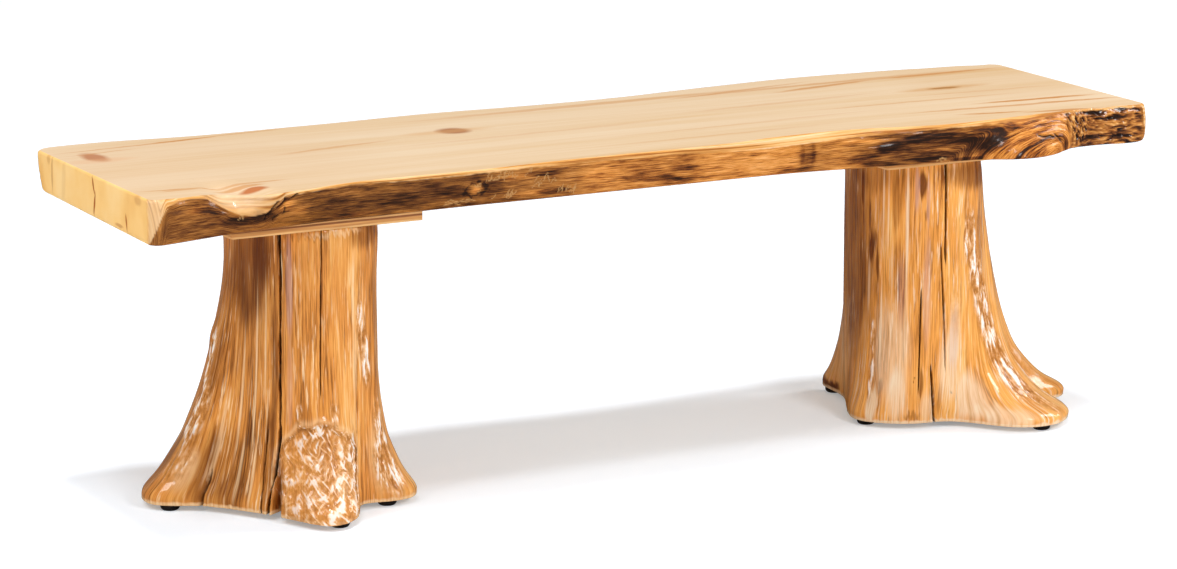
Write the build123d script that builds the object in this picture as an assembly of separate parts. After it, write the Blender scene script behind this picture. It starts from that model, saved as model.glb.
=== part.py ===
from build123d import *
from math import cos, radians, sin, sqrt
import os

# Rustic log bench: a live-edge slab seat on two flared root stumps, with a plywood plate
# between each stump and the seat, and screw-in levelling glides under the root lobes.
# Millimetres. +X along the seat, -Y the front, +Z up, floor at Z = 0.

# ---- seat slab ----
SEAT_LENGTH = 1524.0
SEAT_DEPTH = 400.0
SEAT_HEIGHT = 452.0
SEAT_THICKNESS = 54.0
LIVE_EDGE_BELLY = 5.0
BACK_UNDERCUT = 18.0
CORNER_RADIUS = 14.0
TOP_EDGE_RADIUS = 3.0
BOTTOM_EDGE_RADIUS = 3.0
END_BOTTOM_RADIUS = 8.0
EASING_STEPS = 4
BELLY_SHARES = (0.18, 0.22, 0.3, 0.45, 0.6, 0.75, 0.84, 0.9)

# Live edges, from the left end to the right one: share of half the length in percent, then how
# far the front top edge, the front bottom edge and the back top edge stand out past half the depth.
LIVE_EDGES = (
    (-100, 1, -1, 11), (-95, 2, -1, 12), (-90, -4, -2, 13), (-86, -11, -3, 12), (-81, 15, -5, 8),
    (-76, 29, -10, 3), (-68, 16, -16, -2), (-55, 6, -20, -2), (-41, 8, -23, 0), (-23, 0, -23, 6),
    (-5, -1, -23, -2), (13, -6, -23, -3), (22, -16, -23, 2), (27, -18, -21, 7), (34, -19, -15, 13),
    (45, -5, -4, 21), (58, 11, 8, 25), (63, 9, 15, 24), (67, 7, 30, 22), (73, 3, 38, 18),
    (78, 0, 25, 14), (82, -1, 5, 10), (86, -1, -3, 6), (93, 0, 0, 0), (100, 3, 4, -7),
)

# ---- mounting plates, 13 mm plywood between stump and seat ----
PLATE_LENGTH = 273.0
PLATE_DEPTH = 330.0
PLATE_THICKNESS = 13.0
PLATE_CORNER_RADIUS = 3.0

# ---- stumps ----
FLOOR_GAP = 8.0
TOE_HEIGHT = 13.0
FOOT_EDGE_RADIUS = 3.0

# How far each pith stands in from its end of the seat and forward of the middle, and how much
# nearer the end its plate is centred.
LEFT_END_GAP = 281.0
RIGHT_END_GAP = 290.0
PITH_FORWARD = 40.0
PLATE_OUTWARD = 20.5

# Each stump: where its pith stands, where its plate is centred, how fast the trunk swells and the
# roots flare towards the floor, and its outline as (bearing in degrees from +X, radius at the
# crown, radius at the foot, share of the slow swell in the growth between them).
LEFT_STUMP = {
    "pith": (LEFT_END_GAP - SEAT_LENGTH / 2, -PITH_FORWARD),
    "plate": (LEFT_END_GAP - PLATE_OUTWARD - SEAT_LENGTH / 2, -7.0),
    "swell_power": 1.67,
    "flare_power": 5.7,
    "outline": (
        (2, 96, 120, 0.05), (20, 99, 153, 0.2), (42, 110, 123, 0.05), (64, 128, 180, 0.4),
        (88, 136, 140, 0.2), (108, 128, 182, 0.55), (128, 113, 141, 0.1), (148, 103, 177, 0.6),
        (160, 99, 210, 0.75), (170, 99, 222, 0.65), (179, 98, 218, 0.72), (188, 101, 180, 0.75),
        (197, 102, 159, 0.6), (213, 107, 150, 0.42), (230, 117, 158, 0.3), (246, 127, 190, 0.2),
        (256, 132, 211, 0.15), (265, 133, 193, 0.14), (274, 132, 152, 0.12), (282, 128, 130, 0.0),
        (298, 118, 145, 0.0), (312, 108, 158, -0.15), (328, 99, 143, -0.12), (346, 96, 122, -0.02),
    ),
}
RIGHT_STUMP = {
    "pith": (SEAT_LENGTH / 2 - RIGHT_END_GAP, -PITH_FORWARD),
    "plate": (SEAT_LENGTH / 2 - RIGHT_END_GAP + PLATE_OUTWARD, 5.0),
    "swell_power": 1.12,
    "flare_power": 8.0,
    "outline": (
        (357, 96, 245, 0.48), (9, 96, 235, 0.4), (25, 96, 186, 0.4), (44, 98, 135, 0.2),
        (66, 112, 160, 0.2), (88, 118, 140, 0.1), (103, 115, 178, 0.48), (112, 111, 132, 0.5),
        (128, 102, 99, 0.2), (153, 93, 90, 0.05), (178, 89, 100, 0.07), (198, 91, 114, 0.07),
        (224, 102, 111, 0.1), (248, 112, 105, 0.1), (266, 116, 103, 0.1), (280, 113, 124, 0.1),
        (291, 110, 192, 0.22), (303, 105, 226, 0.22), (315, 97, 231, 0.36), (326, 94, 216, 0.37),
        (337, 94, 186, 0.5), (347, 96, 233, 0.44),
    ),
}

# Shares of the way from crown to floor at which the stump's sections are taken.
SECTION_SHARES = (0.0, 0.2, 0.38, 0.54, 0.67, 0.77, 0.85, 0.91, 0.955, 1.0)

# Drying checks: (bearing, height of the low end, height of the high end, width at the bark, depth).
# A high end of None runs out through the crown.
LEFT_CHECKS = ((232, 0.0, None, 3.0, 20.0), (192, 0.0, 55.0, 3.5, 26.0), (278, 30.0, 219.0, 2.0, 14.0))
RIGHT_CHECKS = ((262, 87.0, None, 2.5, 16.0), (257, 0.0, 70.0, 3.0, 14.0))
CHECK_OVERRUN = 90.0

# ---- stump screws: flat heads in the plate, shanks down into the stump ----
STUMP_SCREW_RADIUS = 4.0
STUMP_SCREW_LENGTH = 120.0
STUMP_SCREW_HEAD_RADIUS = 8.0
STUMP_SCREW_SPACING_X = 84.0
STUMP_SCREW_SPACING_Y = 124.0
STUMP_SCREW_DRIVE = 5.0
STUMP_SCREW_DRIVE_DEPTH = 3.0

# ---- seat screws: pan heads and washers under the plate, shanks up into the seat ----
SEAT_SCREW_RADIUS = 2.75
SEAT_SCREW_BITE = 32.0
SEAT_SCREW_HEAD_RADIUS = 5.5
SEAT_SCREW_HEAD_HEIGHT = 3.6
SEAT_SCREW_INSET = 30.0
SEAT_SCREW_DRIVE = 3.2
SEAT_SCREW_DRIVE_DEPTH = 2.0
WASHER_RADIUS = 8.0
WASHER_THICKNESS = 1.5

# ---- levelling glides: insert in the wood, screw-in stem, swivelling pad ----
PAD_INSET = 18.0
PAD_RADIUS = 13.0
PAD_HEIGHT = 7.6
PAD_TREAD_RADIUS = 9.5
PAD_RIM_HEIGHT = 4.5
PAD_SHOULDER = 0.8
PAD_FLOOR = 2.2
KEYHOLE_RADIUS = 2.6
STEM_RADIUS = 3.0
STEM_HEAD_RADIUS = 5.5
STEM_HEAD_HEIGHT = 2.8
STEM_TIP_CHAMFER = 0.8
STEM_SOCKET_ACROSS_FLATS = 4.0
STEM_SOCKET_DEPTH = 1.8
INSERT_RADIUS = 5.0
INSERT_LENGTH = 10.0
INSERT_FLANGE_RADIUS = 6.5
INSERT_FLANGE_THICKNESS = 1.2
LEVEL_TRAVEL = 5.0

# Bearings of the glides around each pith.
LEFT_GLIDES = {"outer": 180.0, "front": 260.0, "inner": 302.0, "back": 104.0}
RIGHT_GLIDES = {"inner": 199.0, "front": 303.0, "outer": 359.0, "back": 102.0}

# ---- clearances ----
WOOD_FIT = 0.05
CLEARANCE_HOLE = 0.3
HEAD_FIT = 0.1
RUNNING_FIT = 0.06
SWIVEL_FIT = 0.1
BORE_END = 1.5

# ---- levels worked out from the sizes above ----
SEAT_BOTTOM = SEAT_HEIGHT - SEAT_THICKNESS
CROWN_LEVEL = SEAT_BOTTOM - PLATE_THICKNESS
STUMP_HEIGHT = CROWN_LEVEL - FLOOR_GAP
INSERT_TOP = FLOOR_GAP + INSERT_LENGTH
STEM_TOP = INSERT_TOP + LEVEL_TRAVEL
STEM_HEAD_BOTTOM = PAD_FLOOR + SWIVEL_FIT
STEM_HEAD_TOP = STEM_HEAD_BOTTOM + STEM_HEAD_HEIGHT
DRILL_TIP = 0.6
OUTSIDE = 10.0


def turned(*profile):
    """Solid turned about the Z axis from its (radius, height) corners."""
    corners = [(radius, 0, height) for radius, height in profile]
    return revolve(make_face(Polyline(*corners, close=True)), Axis.Z)


def post(radius, bottom, top):
    """Upright cylinder on the Z axis between two heights."""
    return Pos(0, 0, bottom) * Cylinder(radius, top - bottom, align=(Align.CENTER, Align.CENTER, Align.MIN))


def copies(solid, places):
    """The same solid at each (x, y) place."""
    return [Pos(x, y, 0) * solid for x, y in places]


# ---------------------------------------------------------------- seat slab


def easing(radius, from_face):
    """How far a rounded edge is drawn in at a distance from the face that it runs into."""
    if from_face >= radius:
        return 0.0
    return radius - sqrt(radius**2 - (radius - from_face) ** 2)


def seat_outline(level):
    """Outline of the slab in plan at one height: two live edges, two sawn ends, round corners."""
    above = level - SEAT_BOTTOM
    below = SEAT_HEIGHT - level
    rise = above / SEAT_THICKNESS
    belly = 4 * LIVE_EDGE_BELLY * rise * (1 - rise)
    edge_in = easing(TOP_EDGE_RADIUS, below) + easing(BOTTOM_EDGE_RADIUS, above)
    end_in = easing(TOP_EDGE_RADIUS, below) + easing(END_BOTTOM_RADIUS, above)
    half = SEAT_LENGTH / 2 - end_in
    straight = half - CORNER_RADIUS
    front = []
    back = []
    for percent, front_top, front_bottom, back_top in LIVE_EDGES:
        x = max(-straight, min(straight, percent / 100 * SEAT_LENGTH / 2))
        back_bottom = back_top - BACK_UNDERCUT
        out = SEAT_DEPTH / 2 + belly - edge_in
        front.append(Vector(x, -(out + front_bottom + (front_top - front_bottom) * rise), level))
        back.append(Vector(x, out + back_bottom + (back_top - back_bottom) * rise, level))
    along = Vector(1, 0, 0)
    sides = [Edge.make_spline(points, tangents=[along, along]) for points in (front, back)]
    ends = []
    corners = []
    bend = CORNER_RADIUS * (1 - sqrt(0.5))
    for side, index in ((-1, 0), (1, -1)):
        near, far = front[index], back[index]
        edge_x = side * half
        low = Vector(edge_x, near.Y + CORNER_RADIUS, level)
        high = Vector(edge_x, far.Y - CORNER_RADIUS, level)
        ends.append(Edge.make_line(low, high))
        mid_x = edge_x - side * bend
        corners.append(Edge.make_three_point_arc(near, Vector(mid_x, near.Y + bend, level), low))
        corners.append(Edge.make_three_point_arc(high, Vector(mid_x, far.Y - bend, level), far))
    order = (sides[0], corners[2], ends[1], corners[3], sides[1], corners[1], ends[0], corners[0])
    return Wire(order)


def seat_slab():
    """Slab sawn flat above and below and square at the ends, with both live edges left."""
    levels = []
    for step in range(EASING_STEPS + 1):
        share = 1 - sin(radians(90 * (1 - step / EASING_STEPS)))
        levels.append(SEAT_BOTTOM + END_BOTTOM_RADIUS * share)
        levels.append(SEAT_HEIGHT - TOP_EDGE_RADIUS * share)
    for share in BELLY_SHARES:
        levels.append(SEAT_BOTTOM + SEAT_THICKNESS * share)
    return Part() + Solid.make_loft([seat_outline(level) for level in sorted(levels)])


# ---------------------------------------------------------------- stumps


def stump_radii(stump, level):
    """(bearing, radius) round the stump at one height above the floor."""
    drop = min((CROWN_LEVEL - level) / (STUMP_HEIGHT - TOE_HEIGHT), 1.0)
    slow = drop ** stump["swell_power"]
    fast = drop ** stump["flare_power"]
    radii = []
    for bearing, crown, foot, share in stump["outline"]:
        growth = share * slow + (1 - share) * fast
        radii.append((bearing, crown + (foot - crown) * growth))
    return radii


def around(stump, bearing, radius):
    """(x, y) at a bearing and radius from the stump's pith."""
    x, y = stump["pith"]
    return x + radius * cos(radians(bearing)), y + radius * sin(radians(bearing))


def stump_section(stump, level):
    """Smooth closed outline of the stump at one height."""
    points = [(*around(stump, bearing, radius), level) for bearing, radius in stump_radii(stump, level)]
    return Wire([Edge.make_spline([Vector(*point) for point in points], periodic=True)])


def foot_radius(stump, bearing):
    """Radius of the foot outline at a bearing, straight between its two nearest points."""
    outline = sorted((b % 360, foot) for b, _, foot, _ in stump["outline"])
    outline = [(outline[-1][0] - 360, outline[-1][1])] + outline + [(outline[0][0] + 360, outline[0][1])]
    for (b1, r1), (b2, r2) in zip(outline, outline[1:]):
        if b1 <= bearing <= b2:
            return r1 + (r2 - r1) * (bearing - b1) / (b2 - b1)


def drying_check(stump, bearing, low, high, width, depth):
    """Wedge that opens towards the bark, to be cut out of the stump."""
    top = CROWN_LEVEL + OUTSIDE if high is None else high
    bottom = FLOOR_GAP - OUTSIDE if low == 0 else low
    outline = dict(stump_radii(stump, (top + bottom) / 2))
    nearest = min(outline, key=lambda b: abs((b - bearing + 180) % 360 - 180))
    root = outline[nearest] - depth
    reach = depth + CHECK_OVERRUN
    half = width / 2 * reach / depth
    wedge = extrude(make_face(Polyline((root, 0), (root + reach, -half), (root + reach, half), close=True)),
                    top - bottom)
    x, y = stump["pith"]
    return Pos(x, y, bottom) * Rot(0, 0, bearing) * wedge


def glide_places(stump, glides):
    """Name and (x, y) of each glide, set in from the edge of the foot."""
    return {
        name: around(stump, bearing, foot_radius(stump, bearing) - PAD_INSET)
        for name, bearing in glides.items()
    }


def stump_screw_places(stump):
    x, y = stump["pith"]
    return [
        (x + side * STUMP_SCREW_SPACING_X / 2, y + end * STUMP_SCREW_SPACING_Y / 2)
        for side in (-1, 1)
        for end in (-1, 1)
    ]


def seat_screw_places(stump):
    x, y = stump["plate"]
    return [
        (x + side * (PLATE_LENGTH / 2 - SEAT_SCREW_INSET), y + end * (PLATE_DEPTH / 2 - SEAT_SCREW_INSET))
        for side in (-1, 1)
        for end in (-1, 1)
    ]


def stump_body(stump, checks, glides):
    """Root stump with its drying checks, insert bores under the lobes and screw bores in the crown."""
    levels = [CROWN_LEVEL - share * (STUMP_HEIGHT - TOE_HEIGHT) for share in SECTION_SHARES]
    body = Part() + Solid.make_loft([stump_section(stump, level) for level in levels + [FLOOR_GAP]])
    body = fillet(body.faces().sort_by(Axis.Z)[0].edges(), FOOT_EDGE_RADIUS)
    for check in checks:
        body -= drying_check(stump, *check)
    insert_bore = turned(
        (0, FLOOR_GAP - OUTSIDE),
        (INSERT_FLANGE_RADIUS + WOOD_FIT, FLOOR_GAP - OUTSIDE),
        (INSERT_FLANGE_RADIUS + WOOD_FIT, FLOOR_GAP + INSERT_FLANGE_THICKNESS),
        (INSERT_RADIUS + WOOD_FIT, FLOOR_GAP + INSERT_FLANGE_THICKNESS),
        (INSERT_RADIUS + WOOD_FIT, INSERT_TOP),
        (STEM_RADIUS + CLEARANCE_HOLE, INSERT_TOP),
        (STEM_RADIUS + CLEARANCE_HOLE, STEM_TOP + BORE_END),
        (0, STEM_TOP + BORE_END + STEM_RADIUS * DRILL_TIP),
    )
    for bore in copies(insert_bore, glide_places(stump, glides).values()):
        body -= bore
    screw_bore = post(
        STUMP_SCREW_RADIUS + WOOD_FIT, SEAT_BOTTOM - STUMP_SCREW_LENGTH - BORE_END, CROWN_LEVEL + OUTSIDE
    )
    for bore in copies(screw_bore, stump_screw_places(stump)):
        body -= bore
    return body


# ---------------------------------------------------------------- plates and screws


def stump_screw(grow=0.0):
    """Flat-head screw with its head flush in the top of the plate. grow makes the plate's hole."""
    head = STUMP_SCREW_HEAD_RADIUS + grow
    shank = STUMP_SCREW_RADIUS + grow
    tip = SEAT_BOTTOM - STUMP_SCREW_LENGTH
    return turned(
        (0, tip),
        (shank, tip + 2 * shank),
        (shank, SEAT_BOTTOM - (head - shank)),
        (head, SEAT_BOTTOM),
        (0, SEAT_BOTTOM),
    )


def driven_stump_screw():
    """The same screw with a square drive recess in its head."""
    recess = Pos(0, 0, SEAT_BOTTOM - STUMP_SCREW_DRIVE_DEPTH / 2) * Box(
        STUMP_SCREW_DRIVE, STUMP_SCREW_DRIVE, STUMP_SCREW_DRIVE_DEPTH
    )
    return stump_screw() - recess


def seat_screw():
    """Pan-head screw, head down, with a square drive recess."""
    seat = CROWN_LEVEL - WASHER_THICKNESS
    tip = SEAT_BOTTOM + SEAT_SCREW_BITE
    head_side = SEAT_SCREW_HEAD_HEIGHT * 0.6
    screw = turned(
        (0, seat - SEAT_SCREW_HEAD_HEIGHT),
        (SEAT_SCREW_HEAD_RADIUS * 0.7, seat - SEAT_SCREW_HEAD_HEIGHT),
        (SEAT_SCREW_HEAD_RADIUS, seat - head_side),
        (SEAT_SCREW_HEAD_RADIUS, seat),
        (SEAT_SCREW_RADIUS, seat),
        (SEAT_SCREW_RADIUS, tip - 2 * SEAT_SCREW_RADIUS),
        (0, tip),
    )
    recess = Pos(0, 0, seat - SEAT_SCREW_HEAD_HEIGHT + SEAT_SCREW_DRIVE_DEPTH / 2) * Box(
        SEAT_SCREW_DRIVE, SEAT_SCREW_DRIVE, SEAT_SCREW_DRIVE_DEPTH
    )
    return screw - recess


def washer():
    """Flat washer under the head of a seat screw."""
    seat = CROWN_LEVEL - WASHER_THICKNESS
    return post(WASHER_RADIUS, seat, CROWN_LEVEL) - post(
        SEAT_SCREW_RADIUS + CLEARANCE_HOLE, seat - OUTSIDE, CROWN_LEVEL + OUTSIDE
    )


def mounting_plate(stump):
    """Plywood plate with four countersunk holes down to the stump and four holes up to the seat."""
    x, y = stump["plate"]
    plate = Pos(x, y, CROWN_LEVEL + PLATE_THICKNESS / 2) * Box(PLATE_LENGTH, PLATE_DEPTH, PLATE_THICKNESS)
    plate = fillet(plate.edges().filter_by(Axis.Z), PLATE_CORNER_RADIUS)
    for hole in copies(stump_screw(grow=HEAD_FIT), stump_screw_places(stump)):
        plate -= hole
    seat_hole = post(SEAT_SCREW_RADIUS + CLEARANCE_HOLE, CROWN_LEVEL - OUTSIDE, SEAT_BOTTOM + OUTSIDE)
    for hole in copies(seat_hole, seat_screw_places(stump)):
        plate -= hole
    return plate


# ---------------------------------------------------------------- levelling glides


def leveller_insert():
    """Flanged insert set flush into the underside of the foot."""
    body = turned(
        (0, FLOOR_GAP),
        (INSERT_FLANGE_RADIUS, FLOOR_GAP),
        (INSERT_FLANGE_RADIUS, FLOOR_GAP + INSERT_FLANGE_THICKNESS),
        (INSERT_RADIUS, FLOOR_GAP + INSERT_FLANGE_THICKNESS),
        (INSERT_RADIUS, INSERT_TOP),
        (0, INSERT_TOP),
    )
    return body - post(STEM_RADIUS + RUNNING_FIT, FLOOR_GAP - OUTSIDE, INSERT_TOP + OUTSIDE)


def leveller_stem():
    """Screw-in stem with a captive head that the pad swivels on, and a hex socket below."""
    body = turned(
        (0, STEM_HEAD_BOTTOM),
        (STEM_HEAD_RADIUS, STEM_HEAD_BOTTOM),
        (STEM_HEAD_RADIUS, STEM_HEAD_TOP),
        (STEM_RADIUS, STEM_HEAD_TOP),
        (STEM_RADIUS, STEM_TOP - STEM_TIP_CHAMFER),
        (STEM_RADIUS - STEM_TIP_CHAMFER, STEM_TOP),
        (0, STEM_TOP),
    )
    hexagon = RegularPolygon(STEM_SOCKET_ACROSS_FLATS / 2, 6, major_radius=False)
    return body - extrude(Pos(0, 0, STEM_HEAD_BOTTOM) * hexagon, STEM_SOCKET_DEPTH)


def leveller_pad():
    """Dome-sided plastic pad, closed over the stem's head, with a keyhole in its tread."""
    cavity = STEM_HEAD_RADIUS + SWIVEL_FIT
    cavity_top = STEM_HEAD_TOP + SWIVEL_FIT
    neck = STEM_RADIUS + SWIVEL_FIT
    bulge = (PAD_RADIUS - 0.3 * (PAD_RADIUS - PAD_TREAD_RADIUS), PAD_RIM_HEIGHT * 0.4)
    side = ThreePointArc((PAD_TREAD_RADIUS, 0, 0), (bulge[0], 0, bulge[1]), (PAD_RADIUS, 0, PAD_RIM_HEIGHT))
    rest = Polyline(
        (PAD_RADIUS, 0, PAD_RIM_HEIGHT),
        (PAD_RADIUS, 0, PAD_HEIGHT - PAD_SHOULDER),
        (PAD_RADIUS - PAD_SHOULDER, 0, PAD_HEIGHT),
        (neck, 0, PAD_HEIGHT),
        (neck, 0, cavity_top),
        (cavity, 0, cavity_top),
        (cavity, 0, PAD_FLOOR),
        (KEYHOLE_RADIUS, 0, PAD_FLOOR),
        (KEYHOLE_RADIUS, 0, 0),
        (PAD_TREAD_RADIUS, 0, 0),
    )
    return revolve(make_face([*side.edges(), *rest.edges()]), Axis.Z)


# ---------------------------------------------------------------- the whole bench


def side_nodes(side, stump, checks, glides):
    """Every node of one end of the bench, by name."""
    places = glide_places(stump, glides)
    nodes = {
        f"{side}_stump": stump_body(stump, checks, glides),
        f"{side}_mounting_plate": mounting_plate(stump),
        f"{side}_stump_screws": Compound(copies(driven_stump_screw(), stump_screw_places(stump))),
        f"{side}_seat_screws": Compound(copies(seat_screw(), seat_screw_places(stump))),
        f"{side}_seat_washers": Compound(copies(washer(), seat_screw_places(stump))),
        f"{side}_leveller_inserts": Compound(copies(leveller_insert(), places.values())),
    }
    for name, (x, y) in places.items():
        nodes[f"{side}_{name}_stem"] = Pos(x, y, 0) * leveller_stem()
        nodes[f"{side}_{name}_pad"] = Pos(x, y, 0) * leveller_pad()
    return nodes


def bench():
    """All nodes, by name, in the frame that the sizes above are given in."""
    slab = seat_slab()
    pilot = post(SEAT_SCREW_RADIUS + WOOD_FIT, SEAT_BOTTOM - OUTSIDE, SEAT_BOTTOM + SEAT_SCREW_BITE + BORE_END)
    for stump in (LEFT_STUMP, RIGHT_STUMP):
        for bore in copies(pilot, seat_screw_places(stump)):
            slab -= bore
    nodes = {"seat_slab": slab}
    nodes.update(side_nodes("left", LEFT_STUMP, LEFT_CHECKS, LEFT_GLIDES))
    nodes.update(side_nodes("right", RIGHT_STUMP, RIGHT_CHECKS, RIGHT_GLIDES))
    return nodes


def main():
    """Write each node, moved so that the origin is under the middle of the whole bench."""
    os.makedirs("parts", exist_ok=True)
    nodes = bench()
    boxes = [node.bounding_box() for node in nodes.values()]
    shift_x = -(min(box.min.X for box in boxes) + max(box.max.X for box in boxes)) / 2
    shift_y = -(min(box.min.Y for box in boxes) + max(box.max.Y for box in boxes)) / 2
    print(f"shift {shift_x:.3f} {shift_y:.3f}")
    for name, node in nodes.items():
        export_step(Pos(shift_x, shift_y, 0) * node, f"parts/{name}.step")


main()
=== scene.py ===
import math
import bisect
import random

import bmesh
import bpy
from mathutils import Euler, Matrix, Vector, noise
from mathutils.bvhtree import BVHTree


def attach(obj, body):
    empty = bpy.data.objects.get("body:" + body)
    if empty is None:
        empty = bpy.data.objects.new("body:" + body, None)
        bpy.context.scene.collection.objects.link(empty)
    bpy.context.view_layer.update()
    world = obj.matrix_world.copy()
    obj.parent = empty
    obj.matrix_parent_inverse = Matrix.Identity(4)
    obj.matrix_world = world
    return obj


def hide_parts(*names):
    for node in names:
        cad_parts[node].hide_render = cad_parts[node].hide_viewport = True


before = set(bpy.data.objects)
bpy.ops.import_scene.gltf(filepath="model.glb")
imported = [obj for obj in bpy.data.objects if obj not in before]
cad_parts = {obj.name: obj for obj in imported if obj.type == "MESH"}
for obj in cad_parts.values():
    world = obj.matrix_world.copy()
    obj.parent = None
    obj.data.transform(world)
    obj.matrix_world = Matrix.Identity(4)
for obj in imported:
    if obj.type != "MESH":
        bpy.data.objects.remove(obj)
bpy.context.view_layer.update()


# ---------------------------------------------------------------- camera
# A long lens well back from the bench, left of its middle and a little above the seat. The focal
# length is given in pixels of a frame 1177 wide.

EYE = (-2.797, -5.242628, 1.530)
LOOK_DOWN = 12.34
LOOK_RIGHT = 27.78
SENSOR = 36.0
FRAME_PIXELS = 1177
FOCAL_PIXELS = 4376
SIGHT = 60

lens = bpy.data.cameras.new("camera")
lens.sensor_width = SENSOR
lens.lens = SENSOR * (FOCAL_PIXELS / FRAME_PIXELS)
lens.clip_end = SIGHT
camera = bpy.data.objects.new("camera", lens)
camera.location = EYE
camera.rotation_euler = Euler((math.radians(90 - LOOK_DOWN), 0, math.radians(-LOOK_RIGHT)))
bpy.context.scene.collection.objects.link(camera)
bpy.context.scene.camera = camera
bpy.context.scene.view_settings.view_transform = "Standard"


# ---------------------------------------------------------------- studio
# A white sweep under two overhead lights, the weaker one leaning in from the front left, with three
# softboxes. The sweep reads as paper white and keeps a pale, stepped shadow under the bench. It can be
# looked through from below, and out of sight it is darker, which keeps its glare out of the lacquer.

SWEEP_WHITE = "#fdfdfd"
SWEEP_LIFT = 0.125
SWEEP_GLOW = 2.34
SWEEP_SEEN = "#ecf5ff"
SWEEP_IN_GLOSS = "#5a5a5a"
SWEEP_SIZE = 40.0
SKY = 0.26
SKY_IN_GLOSS = 0.12
# Overhead lights: name, power, spread, and lean from the front and from the left in degrees.
OVERHEADS = (("overhead", 1.68, 8, -2, 0), ("leaning_overhead", 0.5, 8, 13, 14))
# Softboxes: name, bearing and rise in degrees, distance, width and height in metres, watts.
SOFTBOXES = (
    ("front_box", 280, 31, 3.3, 0.9, 0.8, 40),
    ("side_box", 350, 30, 3.0, 0.6, 1.3, 26),
    ("high_left_box", 192, 36, 2.6, 0.8, 0.8, 17),
)
SOFTBOX_AIM = 0.25


def linear(shade):
    """Linear RGBA of an sRGB hex colour."""
    parts = [int(shade[i:i + 2], 16) / 255 for i in (1, 3, 5)]
    return [p / 12.92 if p <= 0.04045 else ((p + 0.055) / 1.055) ** 2.4 for p in parts] + [1.0]


def node(tree, kind, inputs=None, stops=None, **settings):
    """A new shader node with its settings, a ramp's stops, and values, hex colours or links on its inputs."""
    made = tree.nodes.new(kind)
    for name, value in settings.items():
        setattr(made, name, value)
    if stops:
        ramp = made.color_ramp
        while len(ramp.elements) < len(stops):
            ramp.elements.new(0.5)
        for element, (place, shade) in zip(ramp.elements, stops):
            element.position = place
            element.color = linear(shade) if isinstance(shade, str) else (shade, shade, shade, 1.0)
    for name, value in (inputs or {}).items():
        if isinstance(value, bpy.types.NodeSocket):
            tree.links.new(value, made.inputs[name])
        else:
            made.inputs[name].default_value = linear(value) if isinstance(value, str) else value
    return made


def new_material(name):
    """An empty node material, its tree and its output node."""
    material = bpy.data.materials.new(name)
    material.use_nodes = True
    tree = material.node_tree
    tree.nodes.clear()
    return material, tree, tree.nodes.new("ShaderNodeOutputMaterial")


def new_piece(name, shape, material):
    """An object at the origin from a bmesh, shaded smooth, with its normals facing out."""
    bmesh.ops.recalc_face_normals(shape, faces=shape.faces)
    mesh = bpy.data.meshes.new(name)
    shape.to_mesh(mesh)
    shape.free()
    mesh.shade_smooth()
    mesh.materials.append(material)
    piece = bpy.data.objects.new(name, mesh)
    bpy.context.scene.collection.objects.link(piece)
    return piece


paper, tree, out = new_material("white_sweep")
path = node(tree, "ShaderNodeLightPath")
seen = node(tree, "ShaderNodeMath", {0: path.outputs["Is Camera Ray"], 1: SWEEP_LIFT}, operation="MULTIPLY")
shade = SWEEP_WHITE
for ray, tint in (("Is Camera Ray", SWEEP_SEEN), ("Is Glossy Ray", SWEEP_IN_GLOSS)):
    shade = node(
        tree, "ShaderNodeMix", {"Factor": path.outputs[ray], 6: shade, 7: tint}, data_type="RGBA"
    ).outputs[2]
matt = node(tree, "ShaderNodeBsdfDiffuse", {"Color": shade})
glow = node(tree, "ShaderNodeEmission", {"Color": SWEEP_WHITE, "Strength": SWEEP_GLOW})
both = node(tree, "ShaderNodeMixShader", {0: seen.outputs[0], 1: matt.outputs[0], 2: glow.outputs[0]})
under = node(tree, "ShaderNodeNewGeometry").outputs["Backfacing"]
through = node(tree, "ShaderNodeMath", {0: path.outputs["Is Camera Ray"], 1: under}, operation="MULTIPLY")
window = node(tree, "ShaderNodeBsdfTransparent")
sided = node(tree, "ShaderNodeMixShader", {0: through.outputs[0], 1: both.outputs[0], 2: window.outputs[0]})
tree.links.new(sided.outputs[0], out.inputs["Surface"])

sheet = bmesh.new()
bmesh.ops.create_grid(sheet, x_segments=2, y_segments=2, size=SWEEP_SIZE / 2)
floor = new_piece("floor", sheet, paper)

world = bpy.data.worlds.new("studio")
world.use_nodes = True
bpy.context.scene.world = world
tree = world.node_tree
tree.nodes.clear()
path = node(tree, "ShaderNodeLightPath")
clear = node(tree, "ShaderNodeBackground", {"Color": SWEEP_WHITE, "Strength": 1.0})
room = node(tree, "ShaderNodeBackground", {"Color": SWEEP_WHITE, "Strength": SKY})
cloth = node(tree, "ShaderNodeBackground", {"Color": SWEEP_WHITE, "Strength": SKY_IN_GLOSS})
unseen = node(
    tree, "ShaderNodeMixShader", {0: path.outputs["Is Glossy Ray"], 1: room.outputs[0], 2: cloth.outputs[0]}
)
mixed = node(
    tree, "ShaderNodeMixShader", {0: path.outputs["Is Camera Ray"], 1: unseen.outputs[0], 2: clear.outputs[0]}
)
node(tree, "ShaderNodeOutputWorld", {"Surface": mixed.outputs[0]})

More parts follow.
